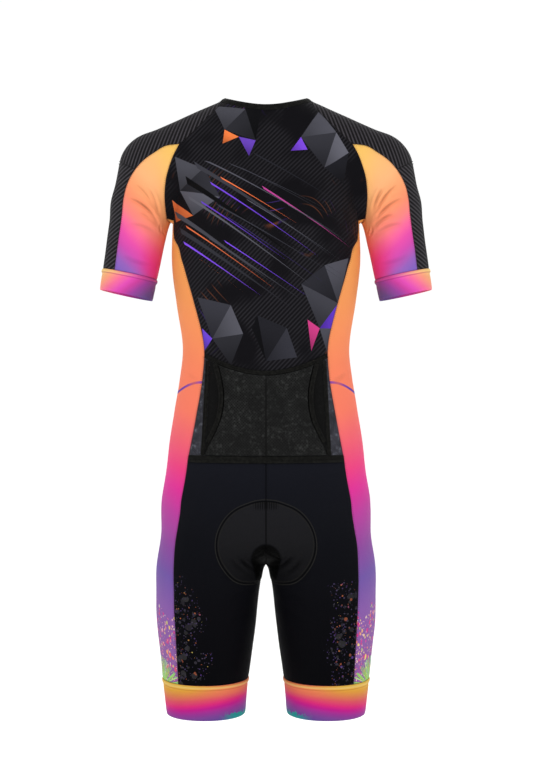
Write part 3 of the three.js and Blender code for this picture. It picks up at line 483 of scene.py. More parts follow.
def draw_seams():
    """Works out every seam of the right half once, as rows of points."""
    d = DETAIL
    for name, start, end, count in (
        ("neck_back", 0, NECK_CORNERS["back"], d["half_width"]),
        ("neck_yoke", NECK_CORNERS["back"], NECK_CORNERS["front"], d["over_arm"]),
        ("neck_front", NECK_CORNERS["front"], NECK_CORNERS["zip"], d["half_width"]),
    ):
        SEAMS[name] = neck_point(mix(start, end, shares(count)))
    back_corner, front_corner = SEAMS["neck_back"][-1], SEAMS["neck_yoke"][-1]
    SEAMS["raglan_back"] = drawn(
        [back_corner[[0, 2]], *RAGLAN_BACK], d["raglan"], from_behind, back_corner)
    SEAMS["raglan_front"] = drawn(
        [front_corner[[0, 2]], *RAGLAN_FRONT], d["raglan"], from_in_front, front_corner)
    SEAMS["armhole_back"] = drawn(ARMHOLE_BACK, d["armhole"], from_behind, SEAMS["raglan_back"][-1])
    SEAMS["armhole_front"] = drawn(ARMHOLE_FRONT, d["armhole"], from_in_front, SEAMS["raglan_front"][-1])
    back_end, front_end = SEAMS["armhole_back"][-1], SEAMS["armhole_front"][-1]
    under = drawn([back_end[:2], *UNDERARM, front_end[:2]], 6, from_below, back_end, front_end)
    SEAMS["underarm"] = with_ends(
        settled(smooth_line(under)(shares(d["underarm"]))), back_end, front_end)
    for column, side, find, start, height in (
        (0, "back", from_behind, back_end, UNDERARM_BACK),
        (1, "front", from_in_front, front_end, UNDERARM_FRONT),
    ):
        SEAMS[f"side_{side}_upper"] = side_run(column, find, height, POCKET_CORNER, d["side_upper"], start)
        SEAMS[f"side_{side}_middle"] = side_run(column, find, POCKET_CORNER, WAIST, d["side_middle"])
        SEAMS[f"side_{side}_leg"] = side_run(
            column, find, WAIST, LEG_BAND_TOP, d["crotch"] + d["inseam"])
    SEAMS["shoulder_back"], SEAMS["sleeve_back"] = sleeve_seam(
        SLEEVE_BACK, from_behind, SEAMS["raglan_back"][-1])
    SEAMS["shoulder_front"], SEAMS["sleeve_front"] = sleeve_seam(
        SLEEVE_FRONT, from_in_front, SEAMS["raglan_front"][-1])
    SEAMS["yoke"] = across(over_arm, SEAMS["shoulder_back"][-1], SEAMS["shoulder_front"][-1], d["over_arm"])
    cuff_back, cuff_front = SEAMS["sleeve_back"][-1], SEAMS["sleeve_front"][-1]
    SEAMS["cuff_over"] = across(over_arm, cuff_back, cuff_front, d["over_arm"])
    ends = [under_arm.name(p)[0] for p in (cuff_back, cuff_front)]
    named = points_of(mix(ends[0], ends[1], shares(2 * d["armhole"] + d["underarm"])), CUFF_TOP, 0)
    SEAMS["cuff_under"] = with_ends(under_arm.find(named[:, :2]), cuff_back, cuff_front)

    corner = SEAMS["side_back_middle"][0]
    share = shares(d["half_width"])
    SEAMS["pocket_line"] = with_ends(
        from_behind(corner[0] * share, mix(POCKET_CENTRE, POCKET_CORNER, share**1.9)), None, corner)
    SEAMS["waist_back"] = across(
        behind, from_behind(0, WAIST), SEAMS["side_back_middle"][-1], d["half_width"])
    zip_x = SEAMS["neck_front"][-1][0]
    waist_corner = SEAMS["side_front_middle"][-1]
    SEAMS["waist_front"] = across(in_front, waist_corner, from_in_front(zip_x, WAIST), d["half_width"])
    SEAMS["thigh_top"] = across(in_front, waist_corner, from_in_front(0, WAIST), d["half_width"])
    count = sum(d[k] for k in ("raglan", "armhole", "side_upper", "side_middle"))
    zip_top = SEAMS["neck_front"][-1]
    SEAMS["zip_edge"] = with_ends(
        from_in_front(zip_x, mix(zip_top[2], WAIST, shares(count))), zip_top, SEAMS["waist_front"][-1])
    SEAMS["centre_back"] = round_crotch(SEAMS["waist_back"][0], d["crotch"])
    SEAMS["centre_front"] = round_crotch(SEAMS["thigh_top"][-1], d["crotch"])
    crotch = SEAMS["centre_back"][-1]
    height = mix(crotch[2] - 1.5, LEG_BAND_TOP, shares(d["inseam"]))
    SEAMS["inseam"] = with_ends(
        leg_in_front.find(np.stack([np.full_like(height, 270), height], axis=-1)), crotch)
    inner, back, front = (SEAMS[name][-1] for name in ("inseam", "side_back_leg", "side_front_leg"))
    SEAMS["band_back"] = across(leg_behind, inner, back, d["half_width"])
    SEAMS["band_front"] = across(leg_in_front, front, inner, d["half_width"])
    SEAMS["band_side"] = across(beside_body, back, front, d["underarm"])


CUFF_TOP, CUFF_HEM = place_at_height(CUFF_TOP_HEIGHT), place_at_height(CUFF_HEM_HEIGHT)
draw_seams()


# Folds: soft troughs placed one by one. Start and end as seen from the named side, then how far the
# fold bows, its width and its depth.
FOLDS_BEHIND = [
    (169, -197, 214, -160, 5, 2.6, 2.6), (170, -184, 206, -139, 4, 2.4, 2.2),
    (167, -182, 182, -144, 2, 2.6, 2.0), (168, -206, 200, -186, 4, 3.0, 1.8),
    (172, -214, 216, -200, 4, 4.0, 1.3), (176, -262, 226, -246, -4, 6.0, 1.0),
    (166, -204, 164, -216, 2, 2.2, 1.6), (162, -203, 158, -214, 2, 2.0, 1.2),
    (150, -214, 128, -232, -4, 5.0, 1.2), (147, -236, 118, -262, -5, 7.0, 1.1),
    (41, -712, 18, -735, 2, 2.6, 3.0), (54, -716, 31, -741, 3, 3.0, 2.1),
    (66, -728, 44, -748, 4, 4.5, 1.2), (26, -720, -6, -689, 5, 2.4, 1.7),
    (24, -772, 60, -792, 4, 7.0, 0.9), (22, -800, 66, -830, 6, 9.0, 0.7),
    (128, -430, 100, -446, 4, 7.0, 0.8), (140, -660, 110, -640, -4, 9.0, 0.7),
    (60, -588, 96, -598, 3, 8.0, 0.6),
]
FOLDS_IN_FRONT = [
    (148, -178, 182, -124, -4, 2.8, 2.4), (150, -188, 196, -148, -5, 3.0, 2.4),
    (154, -200, 208, -178, -4, 3.2, 1.9), (140, -196, 112, -222, 4, 6.0, 1.2),
    (60, -640, 24, -712, 6, 5.0, 1.9), (78, -652, 34, -732, 8, 6.0, 1.6),
    (96, -668, 50, -742, 8, 8.0, 1.0), (118, -430, 84, -448, 4, 8.0, 0.9),
]


def fold_lines():
    """Each fold's points on the figure for both sides of the body, with its width and depth."""
    lines = []
    share = shares(9)
    for rows, find in ((FOLDS_BEHIND, from_behind), (FOLDS_IN_FRONT, from_in_front)):
        for n, (x0, z0, x1, z1, bow, width, depth) in enumerate(rows):
            run = np.array([x1 - x0, z1 - z0], float)
            aside = np.array([-run[1], run[0]]) / np.linalg.norm(run)
            at = np.array([x0, z0]) + share[:, None] * run
            at = at + (4 * bow * share * (1 - share))[:, None] * aside
            forward = find(at[:, 0], at[:, 1])[:, 1]
            known = np.isfinite(forward)
            line = points_of(at[:, 0], np.interp(share, share[known], forward[known]), at[:, 1])
            line = settled(line)
            # Left and right differ a little in height and depth, as folds of worn cloth do.
            uneven = 0.82 + 0.36 * ((n * 0.618) % 1)
            lines.append((line, width, depth * uneven))
            lines.append((mirrored(line + (0, 0, 3 * math.sin(2.4 * n))), width, depth * (1.8 - uneven)))
    return lines


def bell(value, middle, width):
    return np.exp(-(((value - middle) / width) ** 2))


def nearest_on(line, points):
    """How far each point lies from a line of points, and at which share of the line."""
    distance, along = np.full(len(points), 1e9), np.zeros(len(points))
    for i, (a, b) in enumerate(zip(line[:-1], line[1:])):
        ab = b - a
        t = np.clip((points - a) @ ab / (ab @ ab), 0, 1)
        here = np.linalg.norm(points - a - t[:, None] * ab, axis=1)
        closer = here < distance
        distance = np.where(closer, here, distance)
        along = np.where(closer, (i + t) / (len(line) - 1), along)
    return distance, along


def fold_depth(points):
    """How far the folds move each point of the cloth outwards."""
    p = flat_points(points)
    moved = np.zeros(len(p))
    for line, width, depth in FOLDS:
        near = np.linalg.norm(p - line.mean(0), axis=1) < np.ptp(line, axis=0).max() + 4 * width
        if near.any():
            distance, along = nearest_on(line, p[near])
            fade = np.sin(np.pi * np.clip(along, 0.02, 0.98)) ** 0.7
            trough = bell(distance, 0, width) - 0.55 * bell(distance, 1.9 * width, width)
            moved[near] -= depth * fade * trough
    return moved.reshape(points.shape[:-1])


def drift(points):
    """A slow unevenness that stretched cloth has everywhere."""
    x, y, z = np.moveaxis(points, -1, 0)
    return 0.22 * (
        np.sin(x / 17 + 2.1 * np.sin(z / 41)) * np.sin(z / 23 + y / 31)
        + 0.6 * np.sin(x / 9.5 - z / 13 + 1.3) * np.sin(y / 15 + z / 29)
    )


FOLDS = fold_lines()


# Making pieces

# A suit is cut smaller than the body by this much, and its narrowest sheets count as this wide.
STRETCH, NARROWEST = 1.08, 10.2
SEAM_DIP, SEAM_REACH = 0.45, 2.2


def cumulative(grid, axis):
    """The length of cloth from the first row or column to each point."""
    runs = np.linalg.norm(np.diff(grid, axis=axis), axis=-1)
    pad = [(0, 0), (0, 0)]
    pad[axis] = (1, 0)
    return np.pad(np.cumsum(runs, axis=axis), pad)


def quads_of(index):
    corners = index[:-1, :-1], index[1:, :-1], index[1:, 1:], index[:-1, 1:]
    return np.stack(corners, axis=-1).reshape(-1, 4)


def only(obj):
    bpy.ops.object.select_all(action="DESELECT")
    obj.select_set(True)
    bpy.context.view_layer.objects.active = obj


def new_object(name, vertices, faces, finish):
    mesh = bpy.data.meshes.new(name)
    mesh.from_pydata((vertices * MM).tolist(), [], faces)
    mesh.materials.append(MATERIALS[finish])
    obj = bpy.data.objects.new(name, mesh)
    bpy.context.collection.objects.link(obj)
    only(obj)
    return obj


def write_cut(obj, corners):
    """Stores where each corner of the mesh lies on the flat cut, in metres."""
    layer = obj.data.uv_layers.new(name="cut").data
    layer.foreach_set("uv", (corners * MM).astype(np.float32).ravel())


def write_field(obj, name, values):
    layer = obj.data.attributes.new(name, "FLOAT", "POINT")
    layer.data.foreach_set("value", np.asarray(values, np.float32).ravel())


def point_outwards(obj):
    bpy.ops.object.mode_set(mode="EDIT")
    bpy.ops.mesh.select_all(action="SELECT")
    bpy.ops.mesh.normals_make_consistent(inside=False)
    bpy.ops.object.mode_set(mode="OBJECT")
    bpy.ops.object.shade_smooth_by_angle(angle=math.radians(60))


def cloth(name, grid, finish, *, lift=0.0, wall=None, ring=False, fields=(), folds=1.0, seams=True):
    """A piece of cloth on a grid of points: its outer face lies lift above the figure."""
    along_row, along_column = cumulative(grid, 1), cumulative(grid, 0)
    edge = np.minimum(along_column, along_column[-1] - along_column)
    if not ring:
        edge = np.minimum(edge, np.minimum(along_row, along_row[:, -1:] - along_row))
    fold = fold_depth(grid)
    raised = lift + folds * (fold + drift(grid)) - seams * SEAM_DIP * bell(edge, 0, SEAM_REACH)
    normal = outward_normal(grid)
    points = grid + normal * raised[..., None]
    # A ring's last column is its first one again, so its points are made once.
    wide = grid.shape[1] - ring
    index = np.arange(grid.shape[0] * wide).reshape(-1, wide)
    if ring:
        index = np.hstack([index, index[:, :1]])
    quads, corners = quads_of(index), quads_of(np.arange(edge.size).reshape(edge.shape))
    a, b, c = (flat_points(points)[corners[:, k]] for k in range(3))
    if (np.cross(b - a, c - a) * flat_points(normal)[corners[:, 0]]).sum() < 0:
        quads, corners = quads[:, ::-1], corners[:, ::-1]
    obj = new_object(name, flat_points(points[:, :wide]), quads.tolist(), finish)
    cut = np.stack([along_row - along_row[:, -1:] / 2, -along_column], axis=-1).reshape(-1, 2)
    write_cut(obj, cut[corners.ravel()])
    for key, value in {"seam_mm": edge if seams else edge + 9, "fold_mm": fold, **dict(fields)}.items():
        write_field(obj, key, value[:, :wide])
    modifier = obj.modifiers.new("wall", "SOLIDIFY")
    modifier.thickness = (setting("wall") if wall is None else wall) * MM
    modifier.offset = -1
    bpy.ops.object.modifier_apply(modifier="wall")
    bpy.ops.object.shade_smooth_by_angle(angle=math.radians(50))
    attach(obj, "suit")
    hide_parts(name)
    width, length = (max(run.max() / STRETCH, NARROWEST) for run in (along_row[:, -1], along_column[-1]))
    area = (np.diff(along_row, axis=1)[:-1] * np.diff(along_column, axis=0)[:, :-1]).sum() / STRETCH**2
    area = min(max(area, 0.31 * width * length), width * length)
    width * MM
    length * MM
    area * MM * MM


def pair(name, grid, finish, **settings):
    """The same piece on the wearer's right and, mirrored, on the left."""
    cloth(f"{name}_right", grid, finish, **settings)
    cloth(f"{name}_left", mirrored(grid), finish, **settings)


def beside(points, direction, distance):
    """Points on the figure at a distance from the given ones, sideways over its surface."""
    normal = outward_normal(points)
    flat = direction - normal * (direction * normal).sum(-1)[..., None]
    flat = flat / np.linalg.norm(flat, axis=-1)[..., None]
    return cross(points + flat * distance + normal * 9, -normal)


def strip(points, reach):
    """A grid for a strip laid along a seam; reach lists how far each row lies aside."""
    along = np.gradient(points, axis=0)
    aside = np.cross(outward_normal(points), along)
    return np.stack([points if r == 0 else beside(points, aside, r) for r in reach])


# Settings


def length(name, description, default):
    return FloatProperty(name=name, description=description, default=default * MM, min=0, unit="LENGTH")


def hue(name, description, default):
    return FloatVectorProperty(
        name=name, description=description, default=srgb(default), size=3, min=0, max=1, subtype="COLOR")


class SuitSettings(bpy.types.PropertyGroup):
    wall: length("Cloth thickness", "Thickness of a panel's knit", 1.0)
    elastic: length("Elastic thickness", "Thickness of the folded cuffs and leg bands", 1.6)
    binding_width: length("Binding width", "Width of the folded binding round the pocket", 7.2)
    tape_width: length("Waist tape width", "Width of the tape over the back waist seam", 11.2)
    stitch: length("Stitch length", "Length of one stitch beside a seam", 2.3)
    tooth: length("Tooth width", "Width of one moulded zip tooth", 2.9)
    binding: hue("Binding", "Colour of the elastic binding's raised parts", "#181816")
    pinstripe: hue("Pinstripe", "Colour of the fine stripes on yoke and sleeve", "#4A474C")
    thread: hue("Thread", "Colour of the sewing thread", "#121214")
    fleece: hue("Pad fleece", "Colour of the seat pad", "#1A1A1C")
    enamel: hue("Enamel", "Colour of the zip's slider and pull", "#101012")
    sky: hue("Surroundings", "Colour of the pale studio", "#FFFFFF")
    lens: FloatProperty(
        name="Lens", description="Focal length for the photograph's view, mm", default=64.8, min=20)
    key_light: FloatProperty(
        name="Key light", description="Power of the large light behind the suit", default=40, min=0,
        unit="POWER")


def setting(key):
    """A size of the panel's settings in millimetres, or one of its colours with full cover."""
    value = getattr(bpy.context.scene.suit, key)
    return value / MM if isinstance(value, float) else (*value, 1)


# Materials


class Reading:
    """What a node gives out at each point. Sums and products of readings become nodes in turn."""

    def __init__(self, socket):
        self.socket, self.tree = socket, socket.id_data

    def output(self, name):
        return Reading(self.socket.node.outputs[name])

    def math(self, operation, *others):
        return node(self, "ShaderNodeMath", dict(enumerate((self, *others))), operation=operation)

    def __add__(self, other):
        return self.math("ADD", other)

    def __sub__(self, other):
        return self.math("SUBTRACT", other)

    def __rsub__(self, other):
        return self.math("MULTIPLY_ADD", -1.0, other)

    def __mul__(self, other):
        return self.math("MULTIPLY", other)

    def __pow__(self, other):
        return self.math("POWER", other)

    def __abs__(self):
        return self.math("ABSOLUTE")

    def __lt__(self, other):
        return self.math("LESS_THAN", other)

    def __gt__(self, other):
        return self.math("GREATER_THAN", other)


def node(where, kind, links=None, stops=(), output=0, **settings):
    """Adds a node to a tree, or to the tree of a reading, and returns what it gives out.

    links maps its inputs to readings, numbers or hex colours; stops are a colour ramp's."""
    made = getattr(where, "tree", where).nodes.new(kind)
    for key, value in settings.items():
        setattr(made, key, value)
    for name, value in (links or {}).items():
        socket = made.inputs[name]
        if isinstance(value, Reading):
            value.tree.links.new(value.socket, socket)
        else:
            socket.default_value = (*srgb(value), 1) if isinstance(value, str) else value
    if stops:
        elements = made.color_ramp.elements
        while len(elements) < len(stops):
            elements.new(0.5)
        for element, (place, colour) in zip(elements, stops):
            element.position, element.color = place, (*srgb(colour), 1)
    return Reading(made.outputs[output])


def over(share, first, second, blend="MIX"):
    """The first colour with the second one laid over it by a share."""
    reading = next(value for value in (share, first, second) if isinstance(value, Reading))
    return node(
        reading, "ShaderNodeMix", {0: share, 6: first, 7: second}, output=2, data_type="RGBA",
        blend_type=blend)


def between(value, low, high, start=0.0, end=1.0, how="SMOOTHSTEP"):
    """Runs from start to end while the value runs from low to high."""
    return node(value, "ShaderNodeMapRange", {0: value, 1: low, 2: high, 3: start, 4: end},
                interpolation_type=how)


def shaded(value, low, high, stops):
    """Colours laid along a value, from low to high."""
    share = between(value, low, high, how="LINEAR")
    return node(value, "ShaderNodeValToRGB", {0: share}, stops)


def field(place, name):
    """One of the measures in millimetres that the piece's points carry."""
    return node(place, "ShaderNodeAttribute", output="Fac", attribute_name=name)


def patches(place, size, detail=2.0, **more):
    """Soft unevenness whose spots are about size millimetres wide."""
    links = {"Vector": place, "Scale": 0.5 / (size * MM), "Detail": detail, **more}
    return node(place, "ShaderNodeTexNoise", links)


def stripes(value, pitch, share, soft=0.12):
    """A soft-edged stripe for each pitch millimetres of a length in metres."""
    turn = (value * (1 / (pitch * MM))).math("FRACT")
    return between(abs(turn - 0.5), share / 2 + soft, share / 2 - soft)


def split(vector):
    first = node(vector, "ShaderNodeSeparateXYZ", {0: vector})
    return first, first.output(1), first.output(2)


def out_and_down(place):
    """How far out from the middle a point lies, and how far down, in metres."""
    x, _, z = split(place)
    return abs(x), z * -1.0


def seam_line(seam, colour, thread="#141214", strength=0.65):
    """Darkens the cloth where it turns into its seam: the dark joint, with painted shade in the seam's
    valley.
    """
    return over(between(seam, 0.3, 1.6, strength, 0.0, how="LINEAR"), colour, thread)


def fabric(name, paint, roughness=0.66, weave=0.9, gloss=0.05, sheen=0.015, dim=0.0):
    """Knitted polyester and elastane: matt, close to the skin, with fine ribs along the cut."""
    material = bpy.data.materials.new(name)
    material.use_nodes = True
    tree = material.node_tree
    cut = node(tree, "ShaderNodeUVMap", uv_map="cut")
    place = node(tree, "ShaderNodeTexCoord", output="Object")
    seam = field(tree, "seam_mm")
    colour, relief = paint(place, cut, seam)
    # Ribs are drawn at their real spacing, in threads of about a millimetre.
    ribs, rows = (
        node(tree, "ShaderNodeTexWave", {
            "Vector": cut, "Scale": 0.314 / (weave * share * MM), "Distortion": 0.6, "Detail": 1.0,
        }, output="Fac", bands_direction=way)
        for way, share in (("X", 1.0), ("Y", 0.8)))
    # The seam is a fine valley, sunk over its last millimetre and a half.
    height = ribs * rows + between(seam, 0.0, 1.6, -3.0, 0.0)
    if relief is not None:
        height = height + relief
    # Cloth looks deeper in the bottom of a fold, where less light reaches it.
    depth = between(field(tree, "fold_mm"), -0.3, -2.4, dim, 0.5, how="LINEAR")
    fill_in(tree, {
        "Base Color": over(depth, colour, "#000000"), "Roughness": roughness,
        "Sheen Weight": sheen, "Sheen Roughness": 0.45, "Specular IOR Level": gloss,
        "Normal": node(tree, "ShaderNodeBump", {"Height": height, "Strength": 0.3, "Distance": 0.0006})})
    return material


def fill_in(tree, values):
    """Sets or links the shader's inputs."""
    inputs = tree.nodes["Principled BSDF"].inputs
    for name, value in values.items():
        if isinstance(value, Reading):
            tree.links.new(value.socket, inputs[name])
        else:
            inputs[name].default_value = value


def smooth(name, colour, roughness):
    """A hard, close surface, a little uneven in gloss where it is touched."""
    material = bpy.data.materials.new(name)
    material.use_nodes = True
    tree = material.node_tree
    smear = patches(node(tree, "ShaderNodeTexCoord", output="Object"), 3, 3.0)
    fill_in(tree, {
        "Base Color": over(between(smear, 0.3, 0.7), colour, "#2A2A2C"),
        "Roughness": between(smear, 0.3, 0.7, roughness, roughness + 0.12)})
    return material


def splashed(base, place, run, near, spots, layers):
    """Drops of paint over the colours so far, in patches that thicken where near is high.

    A layer has the spacing of its drops in mm, their least and greatest size, the level that a
    patch starts at, and its colours."""
    for size, least, most, level, hues in layers:
        cells = node(
            run, "ShaderNodeTexVoronoi", {"Vector": run, "Scale": 1 / (size * MM)}, output="Distance")
        pick = node(run, "ShaderNodeTexWhiteNoise", {"Vector": cells.output("Position")}, output="Value")
        reach = (pick**2.2).math("MULTIPLY_ADD", most - least, least)
        drop = (patches(run, size * 0.3) - 0.5).math("MULTIPLY_ADD", 0.3, cells) < reach
        patchy = near.math("MULTIPLY_ADD", 0.62, patches(place, *spots)) > level
        own = (pick * 7.3).math("FRACT")
        base = over(drop * patchy, base, node(own, "ShaderNodeValToRGB", {0: own}, hues))
    return base


def paint_plain(colour, spread=0.12):
    def paint(place, cut, seam):
        shade = between(patches(place, 9, 3.0), 0.3, 0.7, 1 - spread, 1 + spread)
        return seam_line(seam, over(1.0, colour, shade, blend="MULTIPLY")), None

    return paint


def paint_side(place, cut, seam):
    """Printed from orange at the underarm by magenta to purple at the thigh, with splashes low down."""
    out, down = out_and_down(place)
    base = shaded(out.math("MULTIPLY_ADD", 0.42, down - 0.058), 0.19, 0.93, [
        (0.0, "#F4AE55"), (0.17, "#F19757"), (0.31, "#FA8660"), (0.40, "#FB7D64"), (0.48, "#F35C76"),
        (0.525, "#EF3F82"), (0.57, "#E22E98"), (0.625, "#B83A9B"), (0.70, "#8C489D"), (0.76, "#6F53A2"),
        (0.83, "#8659A5"), (1.0, "#8C5A9A")])
    # One narrow purple line crosses the panel near the waist and fades towards the front.
    level = ((out - 0.1).math("MAXIMUM", 0.0) ** 2.0).math("MULTIPLY_ADD", 10.0, 0.4485)
    forward = split(place)[1]
    line = between(abs(down - level), 0.0023, 0.0014) * between(forward, 0.045, 0.012)
    base = over(line, base, shaded(out, 0.1, 0.14, [
        (0.0, "#8A48B0"), (0.3, "#C8606E"), (0.55, "#8A48A0"), (0.8, "#5A35A8"), (1.0, "#4A2AA0")]))
    # Splashes of paint thicken towards the leg band, drawn out as they run.
    run = node(place, "ShaderNodeMapping", {"Vector": place, "Scale": (1.0, 1.0, 0.62)})
    base = splashed(base, place, run, between(down, 0.74, 0.86), (16,), (
        (7.0, 0.10, 0.46, 0.86, [(0.0, "#D8368E"), (0.35, "#C92F86"), (0.62, "#E2566E"), (0.8, "#E9A05A"),
                                 (0.92, "#E6D678")]),
        (4.6, 0.12, 0.46, 0.80, [(0.0, "#B0309A"), (0.3, "#DE4A84"), (0.5, "#F0E6C0"), (0.62, "#D9479A"),
                                 (0.8, "#E8C66A"), (0.93, "#A9C95A")]),
        (3.0, 0.14, 0.42, 0.84, [(0.0, "#E25A78"), (0.4, "#EFE3DC"), (0.55, "#B23CA0"), (0.85, "#F0D98A")]),
    ))
    # A small burst of lime and white strokes stands on the leg band.
    rise = 0.925 - down
    aside = (out - 0.150).math("MULTIPLY_ADD", 0.5, (0.030 - abs(forward)) * 0.85)
    far = (rise**2.0 + aside**2.0).math("SQRT")
    turn = aside.math("ARCTAN2", rise) * 5.0
    rays = node(turn, "ShaderNodeTexNoise", {"W": turn, "Scale": 1.9, "Detail": 1.5}, noise_dimensions="1D")
    burst = far < between(rays, 0.42, 0.54) * 0.034 + 0.013
    tint = shaded((rays * 3.0).math("FRACT"), 0.0, 1.0, [
        (0.0, "#7CC22E"), (0.5, "#9AD446"), (0.72, "#84C83A"), (0.84, "#D5E6D2"), (0.92, "#74B0B4")])
    return seam_line(seam, over(burst, base, tint), "#4A1F36", 0.5), None


def paint_sleeve(place, cut, seam):
    """Golden beside the raglan seam, running by coral to magenta and purple above the cuff."""
    out, down = out_and_down(place)
    cloudy = (patches(place, 60) - 0.5).math("MULTIPLY_ADD", 0.02, out + down)
    base = shaded(cloudy, 0.23, 0.50, [
        (0.0, "#F2C466"), (0.15, "#F9BC74"), (0.32, "#FBB27A"), (0.44, "#FBA06E"), (0.54, "#F9906D"),
        (0.63, "#FC8280"), (0.70, "#F8699A"), (0.77, "#E64EA8"), (0.84, "#CE4AAC"), (0.94, "#945FB7"),
        (1.0, "#8060BA")])
    # The inner side keeps more red, and the edge beside the back keeps more gold.
    inner = between(out, 0.205, 0.175) * between(down, 0.2, 0.262)
    base = over(inner * 0.6, base, "#E02468")
    gold = between(out, 0.175, 0.152) * between(down, 0.24, 0.15)
    return seam_line(seam, over(gold * 0.4, base, "#F6BE60"), "#5A2320", 0.5), None


def rolled_edge(cut, base, crest, foot, pale, dark):
    """The sewn roll on a band's upper edge: a painted highlight on its crest, with a line of painted shade
    at its foot.
    """
    below_top = split(cut)[1] * (-1 / MM)
    for at, wide, share, colour in ((crest, 2.2, 0.6, pale), (foot, 1.2, 0.45, dark)):
        base = over(between(abs(below_top - at), wide, wide * 0.3, 0.0, share), base, colour)
    return base


def paint_cuff(place, cut, seam):
    """Golden on the outer upper edge, running by magenta to blue-purple at the inner hem."""
    out, down = out_and_down(place)
    base = shaded(down - out * 0.72, 0.085, 0.188, [
        (0.0, "#EFC278"), (0.175, "#F59C7C"), (0.335, "#F06C98"), (0.48, "#DC4CB0"), (0.58, "#C43E9A"),
        (0.7, "#95409A"), (0.87, "#634B8A"), (1.0, "#5A4A90")])
    # The roll's painted highlight runs from magenta inside the arm to golden outside; its painted shade is
    # dark plum.
    rim = over(between(out, 0.19, 0.25), "#C84C8E", "#F2CE84")
    return rolled_edge(cut, base, 2.6, 5.6, rim, "#7A2C5A"), None


def paint_leg_band(place, cut, seam):
    """Golden and coral above, magenta in the middle and purple at the hem, teal inside the leg."""
    out, down = out_and_down(place)
    base = shaded(down - (out - 0.155) * 0.14, 0.914, 0.99, [
        (0.0, "#E8C24E"), (0.2, "#E0A038"), (0.32, "#DB7C4C"), (0.43, "#DC5060"), (0.54, "#DC2478"),
        (0.62, "#C0128A"), (0.70, "#9E2C92"), (0.80, "#7C3E92"), (0.9, "#5E4090"), (1.0, "#52489A")])
    coral = between(down, 0.94, 0.925) * between(out, 0.12, 0.06)
    base = over(coral * 0.6, base, "#F07A58")
    ragged = between(down, 0.950, 0.976).math("MULTIPLY_ADD", 0.62, patches(place, 2.6, 4.0)) > 0.86
    base = over(between(out, 0.075, 0.045) * ragged, base, "#128E8C")
    # The roll's painted highlight is pale gold, and its line of painted shade is brown.
    return rolled_edge(cut, base, 3.4, 7.4, "#EBCB78", "#A8642A"), None


def paint_shorts(place, cut, seam):
    """Blue-black, with the pad's outline pressed through it and splashes of paint beside the panels."""
    pad, aside = field(place, "pad_mm"), field(place, "aside_mm")
    out, down = out_and_down(place)
    rear = between(split(place)[1], 0.03, 0.0)
    inside = between(pad, 0.0, 3.0) * rear
    # Under the seat the cloth dips into a hollow, filled with painted shade that narrows down the inner
    # legs.
    above = (0.722 - down).math("MAXIMUM", 0.0) * (1 / 0.030)
    below = (down - 0.722).math("MAXIMUM", 0.0)
    wide = below.math("MULTIPLY_ADD", 0.24, out) * (1 / 0.0245)
    hollow = between((wide**2.0 + above**2.0).math("SQRT"), 1.02, 0.86) * between(down, 0.80, 0.75)
    # The knit runs darker towards the bottom, and so does the pad's cover.
    knit = shaded(down, 0.56, 0.9, [(0.0, "#17181F"), (0.3, "#101116"), (0.7, "#09090D"), (1.0, "#060609")])
    padded = shaded(down, 0.63, 0.765, [
        (0.0, "#1D1D20"), (0.5, "#18181A"), (0.85, "#121214"), (1.0, "#101013")])
    base = over(inside * (1.0 - hollow), knit, padded)
    # Painted shade: the hollow is laid over in near black.
    base = over(hollow, base, "#030303")
    # Two rows of thread run round the pad, with painted shade in the groove between them.
    for at, wide, colour, share in (
        (-1.2, 0.8, "#2C2B27", 0.7), (3.6, 0.8, "#24231F", 0.5), (1.2, 1.3, "#030303", 0.8),
    ):
        base = over(between(abs(pad - at), wide, wide * 0.45, 0.0, share) * rear, base, colour)
    # Its top is gathered in small pleats, painted as dark lines of shade, and a seam runs down its middle.
    pleat_shade = stripes(out, 3.4, 0.5) * between(out, 0.021, 0.014)
    high = between(down, 0.643, 0.636) * between(pad, 0.5, 2.0, 0.0, 0.8)
    base = over(pleat_shade * high, base, "#050505")
    base = over(between(out, 0.0016, 0.0006, 0.0, 0.45) * inside, base, "#040404")
    # Grey, purple and a few orange drops lie beside the side panels.
    near = between(aside, 95.0, 0.0) * between(down, 0.71, 0.80)
    base = splashed(base, place, place, near, (26, 4.0), (
        (11.0, 0.16, 0.62, 0.96, [(0.0, "#252426"), (0.5, "#2D2C2D"), (1.0, "#211F25")]),
        (6.5, 0.08, 0.5, 0.90, [(0.0, "#2B2A2C"), (0.6, "#302D38"), (0.8, "#54367E"), (0.93, "#7E4430")]),
        (3.4, 0.10, 0.42, 0.80, [(0.0, "#39383B"), (0.45, "#40305E"), (0.75, "#2B2A35"), (0.96, "#9A5638"),
                                 (0.985, "#A89A52")]),
    ))
    return seam_line(seam, base, "#040405"), None


def paint_pinstripe(lean_out, lean_down):
    def paint(place, cut, seam):
        out, down = out_and_down(place)
        line = stripes(out.math("MULTIPLY_ADD", lean_out, down * lean_down), 5.4, 0.36, 0.16)
        worn = between(patches(place, 1.6, 3.0), 0.25, 0.75, 0.72, 1.0)
        # The stripes fade out over the top of the arm.
        from_ridge = abs(split(place)[1] + 0.002)
        shown = between(from_ridge, 0.011, 0.026).math("MAXIMUM", between(out, 0.172, 0.140))
        return seam_line(seam, over(line * (worn * shown), "#151416", setting("pinstripe"))), None

    return paint


